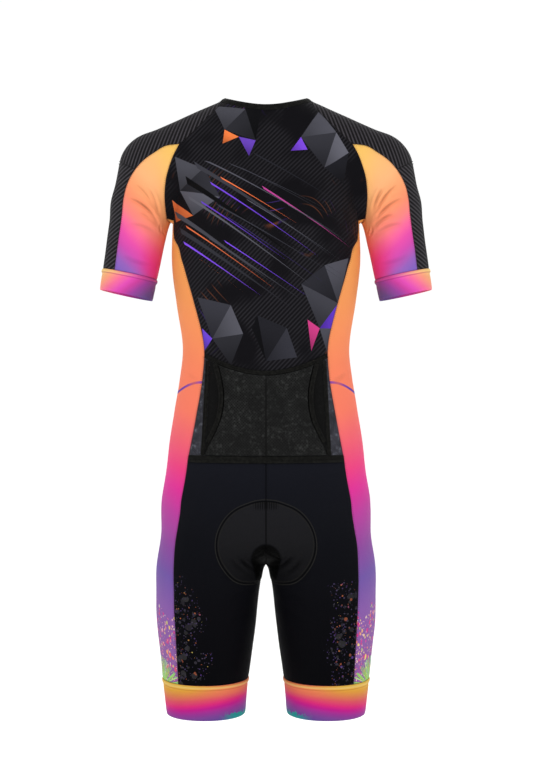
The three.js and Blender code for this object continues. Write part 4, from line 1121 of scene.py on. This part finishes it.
# The printed design's facets: three corners, as x and height in mm, with the colour.
FACETS = [
    (-83, -16, -32, -26, -64, -58, "#3F3F46"), (-64, -58, -32, -26, -16, -77, "#242429"),
    (-32, -26, -6, -19, -16, -77, "#09090C"), (-64, -58, -42, -70, -67, -80, "#D9703A"),
    (-16, -77, -42, -70, -26, -102, "#5D3BA6"), (83, -26, 109, -61, 54, -70, "#46464E"),
    (54, -70, 109, -61, 90, -118, "#2C2C32"), (109, -61, 128, -93, 90, -118, "#55555E"),
    (90, -118, 128, -93, 120, -141, "#18181D"), (54, -70, 64, -90, 38, -93, "#7040C8"),
    (-141, -99, -96, -118, -134, -150, "#414148"), (-96, -118, -70, -166, -134, -150, "#29292F"),
    (-134, -150, -70, -166, -112, -192, "#4E4E57"), (-147, -163, -112, -192, -141, -198, "#B45A30"),
    (-112, -106, -106, -118, 102, -256, "#34343B"), (-96, -106, -86, -109, 125, -230, "#4B4B54"),
    (-125, -128, -122, -141, 54, -266, "#070709"), (-86, -141, -83, -146, 80, -256, "#6A40C6"),
    (-70, -134, -67, -138, 48, -208, "#DE6C3E"), (-42, -118, -32, -125, 138, -214, "#27272D"),
    (-6, -150, -3, -155, 131, -240, "#A83C84"), (-144, -179, -138, -192, 6, -294, "#3E3E45"),
    (-134, -208, -131, -218, 42, -336, "#2B2B31"), (-128, -230, -126, -235, -6, -317, "#7446D0"),
    (-106, -256, -102, -259, -26, -317, "#E07A48"), (90, -269, 128, -256, 112, -326, "#43434B"),
    (54, -298, 90, -269, 112, -326, "#222228"), (54, -298, 112, -326, 83, -365, "#36363D"),
    (112, -326, 109, -365, 83, -365, "#5631AE"), (83, -365, 109, -365, 96, -406, "#404048"),
    (64, -352, 83, -365, 70, -400, "#B23472"), (-106, -317, -54, -330, -83, -381, "#2F2F36"),
    (-54, -330, -35, -374, -83, -381, "#484850"), (-83, -381, -35, -374, -54, -422, "#242429"),
    (-99, -365, -83, -381, -96, -400, "#5F3BB8"), (-13, -346, 32, -365, 0, -416, "#1B1B20"),
    (32, -365, 48, -410, 0, -416, "#2B2B32"), (-22, -365, -13, -346, 0, -416, "#08080B"),
    (-58, -112, -52, -116, 118, -196, "#3A3A42"), (-20, -96, -14, -102, 132, -184, "#202026"),
    (-120, -160, -118, -166, 70, -300, "#515159"), (-100, -170, -98, -174, 30, -262, "#5B37B0"),
    (-76, -176, -70, -182, 122, -292, "#2F2F36"), (-30, -170, -27, -173, 118, -262, "#56565F"),
    (-60, -196, -57, -199, 96, -300, "#3A2A6A"), (-20, -206, -12, -212, 118, -282, "#0A0A0D"),
    (-124, -206, -122, -210, 14, -306, "#C8623A"), (-92, -222, -86, -230, 60, -326, "#3C3C44"),
    (-64, -232, -61, -236, 66, -318, "#6D42CC"), (30, -176, 34, -180, 132, -236, "#494952"),
]


def facet(x, z, base, corners, colour):
    """Lays one flat three-cornered facet over the colours so far, paler towards its first edge."""
    points = np.reshape(corners, (3, 2)) * MM
    inside = []
    for n in range(3):
        (x0, z0), (x1, z1), third = (points[(n + k) % 3] for k in range(3))
        across = np.array([z0 - z1, x1 - x0]) / math.hypot(x1 - x0, z1 - z0)
        across = across * np.sign(across @ (third - (x0, z0)))
        start = x.math("MULTIPLY_ADD", across[0], -across @ (x0, z0))
        inside.append(z.math("MULTIPLY_ADD", across[1], start))
        if n == 0:
            deep = across @ (third - (x0, z0))
    least = inside[0].math("MINIMUM", inside[1]).math("MINIMUM", inside[2])
    pale, dark = ((*(np.array(srgb(colour)) * share), 1) for share in (1.2, 0.66))
    return over(least > 0.0, base, over(between(inside[0], 0.0, deep), pale, dark))


def paint_print(place, cut, seam):
    """An even all-over design: charcoal facets over fine stripes, with a few bright slivers."""
    x, _, z = split(place)
    slope = x.math("MULTIPLY_ADD", 0.72, z * -0.69)
    fine = stripes(slope, 5.0, 0.4, 0.2) * between(patches(place, 40), 0.38, 0.54)
    base = over(fine, "#0B0A0E", "#242327")
    # Fine violet and rust contour lines wander over the ground.
    contour = stripes(patches(place, 120, 0.6), 26.0, 0.10, 0.05)
    some = between(patches(place, 60), 0.54, 0.60)
    tint = over(between(patches(place, 30), 0.52, 0.56), "#34225E", "#5A3322")
    base = over(contour * some, base, tint)
    for *corners, colour in FACETS:
        base = facet(x, z, base, corners, colour)
    return seam_line(seam, base), None


def paint_mesh(ground, thread, pitch, stitched=False):
    """Net-like knit: dark holes between lighter threads, in patches, as worn mesh shows."""

    def paint(place, cut, seam):
        x, _, z = split(place)
        # The net's own threads are finer than a pixel, so it is drawn at twice their spacing.
        rising, falling = (
            stripes(x.math("MULTIPLY_ADD", 0.7, z * way), pitch, 0.34) for way in (0.7, -0.7))
        net = rising.math("MAXIMUM", falling)
        flecks = between(patches(place, 2.8, 3.0, Roughness=0.7), 0.5, 0.66)
        worn = between(patches(place, 9, 4.0), 0.36, 0.66, 0.45, 1.0)
        base = over((net * 0.45).math("MAXIMUM", flecks) * worn, ground, thread)
        if stitched:
            base = over(between(field(place, "stitch_mm"), 1.5, 0.5, 0.0, 0.85), base, "#080808")
        return seam_line(seam, base), net * -0.8

    return paint


def paint_binding(place, cut, seam):
    """Folded elastic: dark, with paler ridges and a darker sewn groove."""
    return over(between(patches(place, 2.2, 3.0), 0.35, 0.75), "#0C0C0B", setting("binding")), None


MATERIALS = {}


def dye():
    """Makes each finish once."""
    MATERIALS.update(
        print=fabric("printed_knit", paint_print),
        yoke=fabric("pinstripe_yoke_knit", paint_pinstripe(0.95, -0.32), dim=0.12),
        outer=fabric("pinstripe_sleeve_knit", paint_pinstripe(-0.56, 0.83), dim=0.05),
        sleeve=fabric("sleeve_gradient_knit", paint_sleeve, gloss=0.12, dim=0.07),
        side=fabric("side_gradient_knit", paint_side, gloss=0.12, dim=0.09),
        cuff=fabric("cuff_elastic", paint_cuff, weave=1.4, gloss=0.12, dim=0.05),
        leg_band=fabric("leg_elastic", paint_leg_band, weave=1.4, gloss=0.12, dim=0.17),
        shorts=fabric("shorts_knit", paint_shorts, sheen=0.004, gloss=0.02, dim=0.1),
        back_mesh=fabric("back_mesh_knit", paint_mesh("#1C1C20", "#62636E", 2.6), weave=1.6),
        pocket_mesh=fabric("pocket_mesh_knit", paint_mesh("#0F0F0F", "#2F302F", 3.2, True), weave=2.0),
        binding=fabric("elastic_binding", paint_binding, weave=1.2),
        pad=fabric("pad_fleece", paint_plain(setting("fleece")), roughness=0.9),
        tape=fabric("zip_tape", paint_plain("#121214"), weave=1.0),
        teeth=smooth("moulded_acetal", "#161618", 0.35),
        thread=smooth("polyester_thread", setting("thread"), 0.6),
        enamel=smooth("black_enamel", setting("enamel"), 0.25),
    )


# Operators


class SUIT_OT_stage(bpy.types.Operator):
    """Sets up the pale studio, its soft lights and the camera behind the suit"""

    bl_idname = "suit.stage"
    bl_label = "Studio"

    def execute(self, context):
        settings = context.scene.suit
        context.scene.view_settings.view_transform = "Standard"
        world = bpy.data.worlds.new("studio")
        world.use_nodes = True
        tree = world.node_tree
        background = tree.nodes["Background"]
        background.inputs[0].default_value = setting("sky")
        # The surround is whiter behind the suit than on the side that the photograph is taken from.
        ahead = split(node(tree, "ShaderNodeTexCoord", output="Generated"))[1]
        tree.links.new(between(ahead, -0.35, 0.3, 0.42, 1.02).socket, background.inputs[1])
        context.scene.world = world
        bpy.ops.mesh.primitive_circle_add(vertices=96, radius=40, fill_type="NGON", location=(0, 0, 0))
        floor = context.object
        floor.name = "studio_floor"
        floor.data.transform(Matrix.Translation((0, 0, -1.35)))
        # Matt white paper that glows a little, so that it stays as pale as the surround.
        paper = bpy.data.materials.new("white_paper")
        paper.use_nodes = True
        fill_in(paper.node_tree, {
            "Base Color": (0.95, 0.95, 0.95, 1), "Roughness": 0.95, "Specular IOR Level": 0.0,
            "Emission Color": (1, 1, 1, 1), "Emission Strength": 0.35})
        floor.data.materials.append(paper)
        for name, power, size, place, target in (
            ("key", settings.key_light, 2.4, (-1.6, -2.6, 1.4), (0, 0, -0.4)),
            ("fill", settings.key_light * 0.7, 2.6, (1.9, -2.4, 0.4), (0, 0, -0.5)),
            ("front", 14, 2.0, (0.4, 3.0, 0.9), (0, 0, -0.4)),
        ):
            bpy.ops.object.light_add(type="AREA", location=place)
            light = context.object
            light.name = name
            light.data.energy = power
            light.data.size = size
            light.rotation_euler = (Vector(target) - Vector(place)).to_track_quat("-Z", "Y").to_euler()
        bpy.ops.object.camera_add(location=(0.0008, -2.2, -0.448), rotation=(math.pi / 2, 0, 0))
        camera = context.object
        camera.data.lens = settings.lens
        camera.data.sensor_width = 36
        context.scene.camera = camera
        return {"FINISHED"}


class SUIT_OT_trunk(bpy.types.Operator):
    """Makes the printed back and the two chest panels"""

    bl_idname = "suit.trunk"
    bl_label = "Back and chest"

    def execute(self, context):
        edge = joined(SEAMS["raglan_back"], SEAMS["armhole_back"], SEAMS["side_back_upper"])
        top, bottom = whole_width(SEAMS["neck_back"]), whole_width(SEAMS["pocket_line"])
        cloth("back_print_panel", patch(behind, top, bottom, mirrored(edge), edge), "print")
        edge = joined(
            SEAMS["raglan_front"], SEAMS["armhole_front"], SEAMS["side_front_upper"],
            SEAMS["side_front_middle"])
        grid = patch(in_front, SEAMS["neck_front"], SEAMS["waist_front"], edge, SEAMS["zip_edge"])
        pair("chest_panel", grid, "print")
        return {"FINISHED"}


def band(name, finish, carrier, ring, hem, rest, roll, groove):
    """A folded elastic band, from its ring of seams down to its hem, with a sewn roll along its top.

    rest is how far it stands out everywhere; roll adds a height at a share of the way down, over a
    width, and groove lowers the foot of the roll."""
    named = carrier.name(ring)
    share = shares(DETAIL[finish])[:, None]
    height = mix(named[:, 1], hem, share)
    grid = carrier.find(np.stack([np.broadcast_to(named[:, 0], height.shape), height], axis=-1))
    grid[0] = ring
    lift = rest + roll[0] * bell(share, *roll[1:]) - 0.5 * bell(share, *groove)
    pair(name, grid, finish, ring=True, lift=lift, wall=setting("elastic"), folds=0.4)


class SUIT_OT_sleeves(bpy.types.Operator):
    """Makes the raglan sleeves: yoke, outer sleeve, coloured under sleeve and cuff"""

    bl_idname = "suit.sleeves"
    bl_label = "Sleeves"

    def execute(self, context):
        yoke, cuff_over, cuff_under = (SEAMS[name] for name in ("yoke", "cuff_over", "cuff_under"))
        shoulders, sleeves, raglans = (
            [SEAMS[f"{seam}_{side}"] for side in ("back", "front")]
            for seam in ("shoulder", "sleeve", "raglan"))
        edges = [joined(*seams) for seams in zip(raglans, shoulders)]
        pair("yoke", patch(over_arm, SEAMS["neck_yoke"], yoke, *edges), "yoke")
        pair("outer_sleeve", patch(over_arm, yoke, cuff_over, *sleeves), "outer")
        top = joined(SEAMS["armhole_back"], SEAMS["underarm"], SEAMS["armhole_front"][::-1])
        edges = [joined(*seams) for seams in zip(shoulders, sleeves)]
        pair("under_sleeve", patch(under_arm, top, cuff_under, *edges), "sleeve")
        ring = joined(cuff_over[::-1], cuff_under)
        band("sleeve_cuff", "cuff", under_arm, ring, CUFF_HEM, 0.5, (1.5, 0.1, 0.09), (0.27, 0.07))
        return {"FINISHED"}


class SUIT_OT_sides(bpy.types.Operator):
    """Makes the coloured side panels, from the underarm to the leg band"""

    bl_idname = "suit.sides"
    bl_label = "Side panels"

    def execute(self, context):
        edges = [
            joined(SEAMS[f"side_{side}_upper"], SEAMS[f"side_{side}_middle"], SEAMS[f"side_{side}_leg"])
            for side in ("back", "front")]
        pair("side_panel", patch(beside_body, SEAMS["underarm"], SEAMS["band_side"], *edges), "side")
        return {"FINISHED"}


class SUIT_OT_shorts(bpy.types.Operator):
    """Makes the seat, the thighs and the elastic leg bands"""

    bl_idname = "suit.shorts"
    bl_label = "Shorts"

    def execute(self, context):
        inner = joined(SEAMS["centre_back"], SEAMS["inseam"])
        grid = patch(leg_behind, SEAMS["waist_back"], SEAMS["band_back"], inner, SEAMS["side_back_leg"])
        from_middle = cumulative(grid, 1)
        self.panel("seat_panel", grid, from_middle[:, -1:] - from_middle)
        inner = joined(SEAMS["centre_front"], SEAMS["inseam"])
        grid = patch(leg_in_front, SEAMS["thigh_top"], SEAMS["band_front"], SEAMS["side_front_leg"], inner)
        self.panel("thigh_panel", grid, cumulative(grid, 1))
        ring = joined(SEAMS["band_back"], SEAMS["band_side"], SEAMS["band_front"])
        band("leg_band", "leg_band", leg_behind, ring, LEG_HEM, 0.3, (1.3, 0.06, 0.06), (0.16, 0.04))
        return {"FINISHED"}

    def panel(self, name, grid, aside):
        """A panel of the shorts, raised where the pad lies under it, with a groove along its edge."""
        gap = pad_distance(grid)
        lift = 1.5 / (1 + np.exp(-(gap - 1.5) / 1.3)) - 0.9 * bell(gap, 0, 1.6)
        fields = {"pad_mm": np.clip(gap, -30, 60), "aside_mm": aside}
        pair(name, grid, "shorts", lift=lift * (grid[..., 1] < 20), fields=fields)


# The pocket's sides and the edges of its mouths: height, then how far out.
pocket_side = smooth_table([(-560, 96), (-480, 92.5), (-412, 89.5)])
pocket_mouth = smooth_table([
    (-560, 96), (-545, 90), (-530, 82), (-506, 72), (-478, 67.5), (-452, 69.5), (-424, 76), (-412, 79),
])
POCKET = {"lining": 1.5, "front": 3.4, "flare": 1.6, "inset": 4.8, "mouth_end": -541, "below": 4.2}
BINDING = {"half_width": 3.6, "edge": 1.6, "crown": 2.3, "wall": 1.2}
WAIST_TAPE_HEIGHT, WAIST_TAPE_HALF, CUT_GAP = -566, 5.6, 0.3
POCKET_BOTTOM = WAIST_TAPE_HEIGHT + WAIST_TAPE_HALF + CUT_GAP


def below_pocket_line(out, below):
    corner = SEAMS["side_back_middle"][0][0]
    return mix(POCKET_CENTRE, POCKET_CORNER, (np.abs(out) / corner) ** 1.9) - below


def pocket_layer(edge, inset):
    """A layer of the pocket between its sides, from under the top binding to the waist tape."""
    below = POCKET["below"]
    corner = edge(below_pocket_line(pocket_side(POCKET_CORNER)[0], below))[0] - inset
    share = shares(DETAIL["half_width"])
    top = from_behind(corner * share, below_pocket_line(corner * share, below))
    bottom = from_behind((edge(POCKET_BOTTOM)[0] - inset) * share, POCKET_BOTTOM)
    height = mix(below_pocket_line(corner, below), POCKET_BOTTOM, shares(DETAIL["side_middle"]))
    side = with_ends(from_behind(edge(height)[:, 0] - inset, height), top[-1], bottom[-1])
    return patch(behind, whole_width(top), whole_width(bottom), mirrored(side), side)


def binding(name, points, extra=0.0, width="binding_width", make=pair):
    """A folded binding along a line: two soft ridges beside a sewn groove."""
    v = np.linspace(-1, 1, 13)
    crown = BINDING["crown"] - BINDING["edge"]
    height = BINDING["edge"] + crown * np.sqrt(np.clip(1 - v**4, 0, 1)) - 0.55 * bell(v, 0, 0.16)
    make(name, strip(points, v * setting(width) / 2), "binding", lift=height[:, None] + extra,
         wall=BINDING["wall"], folds=0.5, seams=False)


class SUIT_OT_pocket(bpy.types.Operator):
    """Makes the lower back, the pocket on it, their bindings and the waist tape"""

    bl_idname = "suit.pocket"
    bl_label = "Back pocket"

    def execute(self, context):
        top, bottom = whole_width(SEAMS["pocket_line"]), whole_width(SEAMS["waist_back"])
        side = SEAMS["side_back_middle"]
        cloth("lower_back_panel", patch(behind, top, bottom, mirrored(side), side), "back_mesh")
        grid = pocket_layer(pocket_side, BINDING["half_width"])
        cloth("pocket_lining", grid, "pocket_mesh", lift=POCKET["lining"], wall=0.9, seams=False)
        grid = pocket_layer(pocket_mouth, POCKET["inset"])
        u = np.linspace(-1, 1, grid.shape[1])[None]
        hang = np.sin(math.pi * np.linspace(0, 1, grid.shape[0]))[:, None]
        out, height = grid[..., 0], grid[..., 2]
        # The front hangs a little fuller at its mouths and is sewn down along its middle.
        lift = POCKET["front"] + POCKET["flare"] * np.abs(u) ** 3 * hang
        lift = lift - 1.1 * bell(out, 0, 1.8) + 0.5 * bell(out, 0, 7)
        lift = lift + 0.35 * np.sin(out / 8.3 + 2 * np.sin(height / 37)) * hang
        cloth("back_pocket", grid, "pocket_mesh", lift=lift, seams=False, fields={"stitch_mm": np.abs(out)})
        binding("pocket_top_binding", whole_width(SEAMS["pocket_line"][:-1]), make=cloth)
        share = shares(DETAIL["side_upper"])
        flare = POCKET["front"] - 0.4 + POCKET["flare"] * np.sin(math.pi * share)
        for name, edge, end, extra in (
            ("pocket_side_binding", pocket_side, POCKET_BOTTOM, 0),
            ("pocket_mouth_binding", pocket_mouth, POCKET["mouth_end"], flare),
        ):
            start = below_pocket_line(edge(POCKET_CORNER)[0], POCKET["below"] + BINDING["wall"])
            height = mix(start, end, share)
            binding(name, from_behind(edge(height)[:, 0], height), extra)
        corner = from_behind(side_seams(WAIST_TAPE_HEIGHT)[0] - 1.4, WAIST_TAPE_HEIGHT)
        line = across(behind, from_behind(0, WAIST_TAPE_HEIGHT), corner, DETAIL["half_width"])
        binding("waist_tape", whole_width(line), width="tape_width", make=cloth)
        return {"FINISHED"}


PAD_MIDDLE = np.array([45, -12, -655.0])
# The seat pad's outline: angle from behind by below to the front, then degrees aside.
PAD_EDGE = [
    (-12, -9.5), (-3, 4), (8, 12), (22, 15.5), (37, 11.5), (47, 5), (56, -3), (68, -11), (90, -15),
    (116, -11), (136, -5), (154, -4), (170, -9), (178, -14),
]
# How deep it lies under the figure's surface, and its thickness at the rim and over the foam.
PAD = {"under": 5.1, "rim": 1.4, "foam": 3.6, "channel": 1.6}
# Its sewn edge as it shows behind: how far out and how high.
PAD_SEAM = [
    (0, -626), (12, -627), (23.5, -630), (46, -640), (62.5, -656), (73, -677), (76, -698), (72.5, -717),
    (63.5, -734), (50, -750), (38, -757), (20, -761), (14, -761.5),
]
PAD_SEAM_STEPS = 90


def pad_name(p):
    arm = p - PAD_MIDDLE
    angle = near_angle(np.degrees(np.arctan2(-arm[..., 2], -arm[..., 1])), 90)
    return angle, np.degrees(np.arctan2(arm[..., 0], np.hypot(arm[..., 1], arm[..., 2])))


def pad_find(angle, aside, middle=PAD_MIDDLE):
    a, b = np.radians(angle), np.radians(aside)
    return cross(middle, points_of(np.sin(b), -np.cos(b) * np.cos(a), -np.cos(b) * np.sin(a)))


def pad_outline():
    """The pad's sewn edge as it shows behind, from the middle above down to the inner leg."""
    line = smooth_line(PAD_SEAM)(shares(PAD_SEAM_STEPS))
    inner = points_of(11, np.linspace(-40, 24, 9), PAD_SEAM[-1][1])
    return joined(from_behind(line[:, 0], line[:, 1]), settled(inner))


PAD_OUTLINE = pad_outline()


def pad_distance(grid):
    """How far inside the pad's sewn edge each point lies, below zero outside it."""
    p = flat_points(grid).copy()
    p[:, 0] = np.abs(p[:, 0])
    gap, _ = nearest_on(PAD_OUTLINE, p)
    seen = PAD_OUTLINE[: PAD_SEAM_STEPS + 1]
    reach = np.interp(-p[:, 2], -seen[:, 2], seen[:, 0], left=-1, right=-1)
    return np.where(p[:, 0] < reach, gap, -gap).reshape(grid.shape[:-1])


class SUIT_OT_pad(bpy.types.Operator):
    """Makes the seat pad inside the shorts, with its rounded edge and sewn channels"""

    bl_idname = "suit.pad"
    bl_label = "Seat pad"

    def execute(self, context):
        angle = mix(PAD_EDGE[0][0], PAD_EDGE[-1][0], shares(72))
        middle = pad_find(angle, 0, PAD_MIDDLE * (0, 1, 1))
        start_angle, start_aside = pad_name(middle)
        share = shares(16)[None]
        half = pad_find(
            mix(start_angle[:, None], angle[:, None], share),
            mix(start_aside[:, None], smooth_table(PAD_EDGE)(angle), share))
        half[:, 0] = middle
        grid = np.concatenate([mirrored(half[:, :0:-1]), half], axis=1)
        rows, columns = grid.shape[:2]
        u = np.abs(np.linspace(-1, 1, columns))[None]
        v = np.linspace(-1, 1, rows)[:, None]
        full = (np.clip(1 - u**6, 0, 1) * np.clip(1 - v**10, 0, 1)) ** 0.5
        channel = bell(u, 0.45, 0.05) + 0.8 * bell(u, 0, 0.05)
        thick = PAD["rim"] + PAD["foam"] * full - PAD["channel"] * channel * full
        normal = outward_normal(grid)
        top = grid - normal * PAD["under"]
        vertices = np.concatenate([flat_points(top), flat_points(top - normal * thick[..., None])])
        index = np.arange(rows * columns).reshape(rows, columns)
        quads = quads_of(index)
        rim = np.concatenate([index[0, :-1], index[:-1, -1], index[-1, :0:-1], index[:0:-1, 0]])
        after = np.roll(rim, -1)
        low = rows * columns
        sides = np.stack([rim, after, after + low, rim + low], -1)
        faces = np.concatenate([quads, quads[:, ::-1] + low, sides])
        obj = new_object("seat_pad_foam", vertices, faces.tolist(), "pad")
        along, down = cumulative(grid, 1), cumulative(grid, 0)
        cut = np.stack([along - along[:, -1:] / 2, -down], -1).reshape(-1, 2)
        write_cut(obj, cut[faces.ravel() % low])
        write_field(obj, "seam_mm", np.full(2 * low, 9))
        point_outwards(obj)
        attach(obj, "suit")
        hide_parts("seat_pad")
        return {"FINISHED"}


def small_shape(add, size, bevel):
    """Models one small shape by hand at its size in millimetres and returns its points and faces."""
    bpy.ops.object.select_all(action="DESELECT")
    add()
    made = bpy.context.object
    bpy.ops.object.mode_set(mode="EDIT")
    bpy.ops.transform.resize(value=size)
    bpy.ops.mesh.bevel(offset=bevel, segments=1, affect="EDGES")
    bpy.ops.object.mode_set(mode="OBJECT")
    points = np.array([v.co for v in made.data.vertices])
    faces = [list(face.vertices) for face in made.data.polygons]
    bpy.data.objects.remove(made)
    return points, faces


def copies(name, shape, places, along, upwards, finish):
    """Copies a small shape to each place: its x runs along, its z stands up from the cloth."""
    points, faces = shape
    along = np.broadcast_to(along, places.shape)
    along = along / np.linalg.norm(along, axis=1)[:, None]
    aside = np.cross(upwards, along)
    axes = np.stack([along, aside, np.cross(along, aside)], axis=1)
    vertices = flat_points(points @ axes + places[:, None])
    polygons = [[v + n * len(points) for v in face] for n in range(len(places)) for face in faces]
    obj = new_object(name, vertices, polygons, finish)
    point_outwards(obj)
    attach(obj, "suit")


class SUIT_OT_neck_zip(bpy.types.Operator):
    """Makes the neck binding, the zip's tape and teeth, and finishes the slider and its pull"""

    bl_idname = "suit.neck_zip"
    bl_label = "Neck and zip"

    def execute(self, context):
        v = np.linspace(0, 1, 9)
        # Its lower edge laps the seam, so that no light comes through there.
        neck = whole_width(joined(SEAMS["neck_back"], SEAMS["neck_yoke"], SEAMS["neck_front"]))
        grid = strip(neck, mix(-1.3, 8, v))
        height = 0.3 + 0.9 * np.sin(math.pi * v) ** 0.7 - 0.4 * bell(v, 0.22, 0.07)
        cloth("neck_binding", grid, "binding", lift=height[:, None], wall=1.9, folds=0.3, seams=False)
        side = np.concatenate([grid[-1, -1][None], SEAMS["zip_edge"]])
        out = np.linspace(-1, 1, 15)[None] * side[:, :1]
        grid = from_in_front(out, side[:, 2:3])
        grid[:, 0], grid[:, -1] = mirrored(side), side
        cloth("front_zip", grid, "tape", lift=0.55 * bell(out, 0, 2.6), wall=1.1, folds=0.2, seams=False)
        # One moulded tooth is copied down both edges of the chain.
        tooth = small_shape(
            lambda: bpy.ops.mesh.primitive_cube_add(size=1), (setting("tooth"), 1.15, 0.95), 0.22)
        foot = from_in_front(0, np.arange(side[0, 2] - 3, WAIST + 3, -2.0))
        normal = outward_normal(foot)
        aside = np.where(np.arange(len(foot)) % 2, 0.55, -0.55)[:, None] * (1, 0, 0)
        copies("zip_chain", tooth, foot + normal * 1.5 + aside, (1, 0, 0), normal, "teeth")
        for name in ("zip_slider", "zip_pull"):
            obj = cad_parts[name]
            for part in obj.material_slots:
                part.material = MATERIALS["enamel"]
            if not obj.material_slots:
                obj.data.materials.append(MATERIALS["enamel"])
        return {"FINISHED"}


STITCH = {"pitch": 3.2, "thick": 0.5, "aside": 1.9}
STITCHED = {
    "sleeve_stitching": ("pinstripe_cloth", [
        "raglan_back", "armhole_back", "raglan_front", "armhole_front", "yoke", "shoulder_back",
        "sleeve_back", "shoulder_front", "sleeve_front", "underarm"]),
    "side_stitching": ("side_gradient_cloth", [
        "side_back_upper", "side_back_middle", "side_back_leg", "side_front_upper", "side_front_middle",
        "side_front_leg"]),
    "shorts_stitching": ("shorts_cloth", ["centre_back", "centre_front", "inseam"]),
}


def stitch_row(line, aside):
    """Evenly spaced places on one side of a seam, with the seam's direction there."""
    run = np.concatenate([[0], np.cumsum(np.linalg.norm(np.diff(line, axis=0), axis=1))])
    at = np.arange(STITCH["pitch"], run[-1] - STITCH["pitch"], STITCH["pitch"])
    place = np.stack([np.interp(at, run, line[:, k]) for k in range(3)], axis=-1)
    along = np.gradient(place, axis=0)
    sideways = np.cross(outward_normal(place), along)
    place = settled(place + sideways / np.linalg.norm(sideways, axis=1)[:, None] * aside)
    return place, along


class SUIT_OT_stitching(bpy.types.Operator):
    """Sews the seams: one stitch of thread, copied along both sides of each seam"""

    bl_idname = "suit.stitching"
    bl_label = "Stitching"

    def execute(self, context):
        stitch = small_shape(
            lambda: bpy.ops.mesh.primitive_cylinder_add(
                vertices=6, radius=0.5, depth=1, rotation=(0, math.pi / 2, 0)),
            (setting("stitch"), STITCH["thick"], STITCH["thick"]), 0.12)
        for name, (slot, seams) in STITCHED.items():
            rows = [
                stitch_row(line, aside)
                for seam in seams for line in (SEAMS[seam], mirrored(SEAMS[seam]))
                for aside in (-STITCH["aside"], STITCH["aside"])]
            places, along = (np.concatenate(part) for part in zip(*rows))
            normal = outward_normal(places)
            sunk = fold_depth(places) + drift(places) - SEAM_DIP * bell(STITCH["aside"], 0, SEAM_REACH)
            copies(name, stitch, places + normal * (sunk + 0.08)[:, None], along, normal, "thread")
        return {"FINISHED"}


OPERATORS = [
    SUIT_OT_stage, SUIT_OT_trunk, SUIT_OT_sleeves, SUIT_OT_sides, SUIT_OT_shorts, SUIT_OT_pocket,
    SUIT_OT_pad, SUIT_OT_neck_zip, SUIT_OT_stitching,
]


class SUIT_PT_panel(bpy.types.Panel):
    """Lists the suit's settings and the steps that make it"""

    bl_label = "Triathlon suit"
    bl_idname = "SUIT_PT_panel"
    bl_space_type = "VIEW_3D"
    bl_region_type = "UI"
    bl_category = "Suit"

    def draw(self, context):
        for key in SuitSettings.__annotations__:
            self.layout.prop(context.scene.suit, key)
        for operator in OPERATORS:
            self.layout.operator(operator.bl_idname)


CLASSES = [SuitSettings, *OPERATORS, SUIT_PT_panel]


def register():
    for cls in CLASSES:
        bpy.utils.register_class(cls)
    bpy.types.Scene.suit = PointerProperty(type=SuitSettings)


def unregister():
    del bpy.types.Scene.suit
    for cls in reversed(CLASSES):
        bpy.utils.unregister_class(cls)


def main():
    register()
    dye()
    for operator in OPERATORS:
        getattr(bpy.ops.suit, operator.bl_idname.removeprefix("suit."))()


if __name__ == "__main__":
    main()
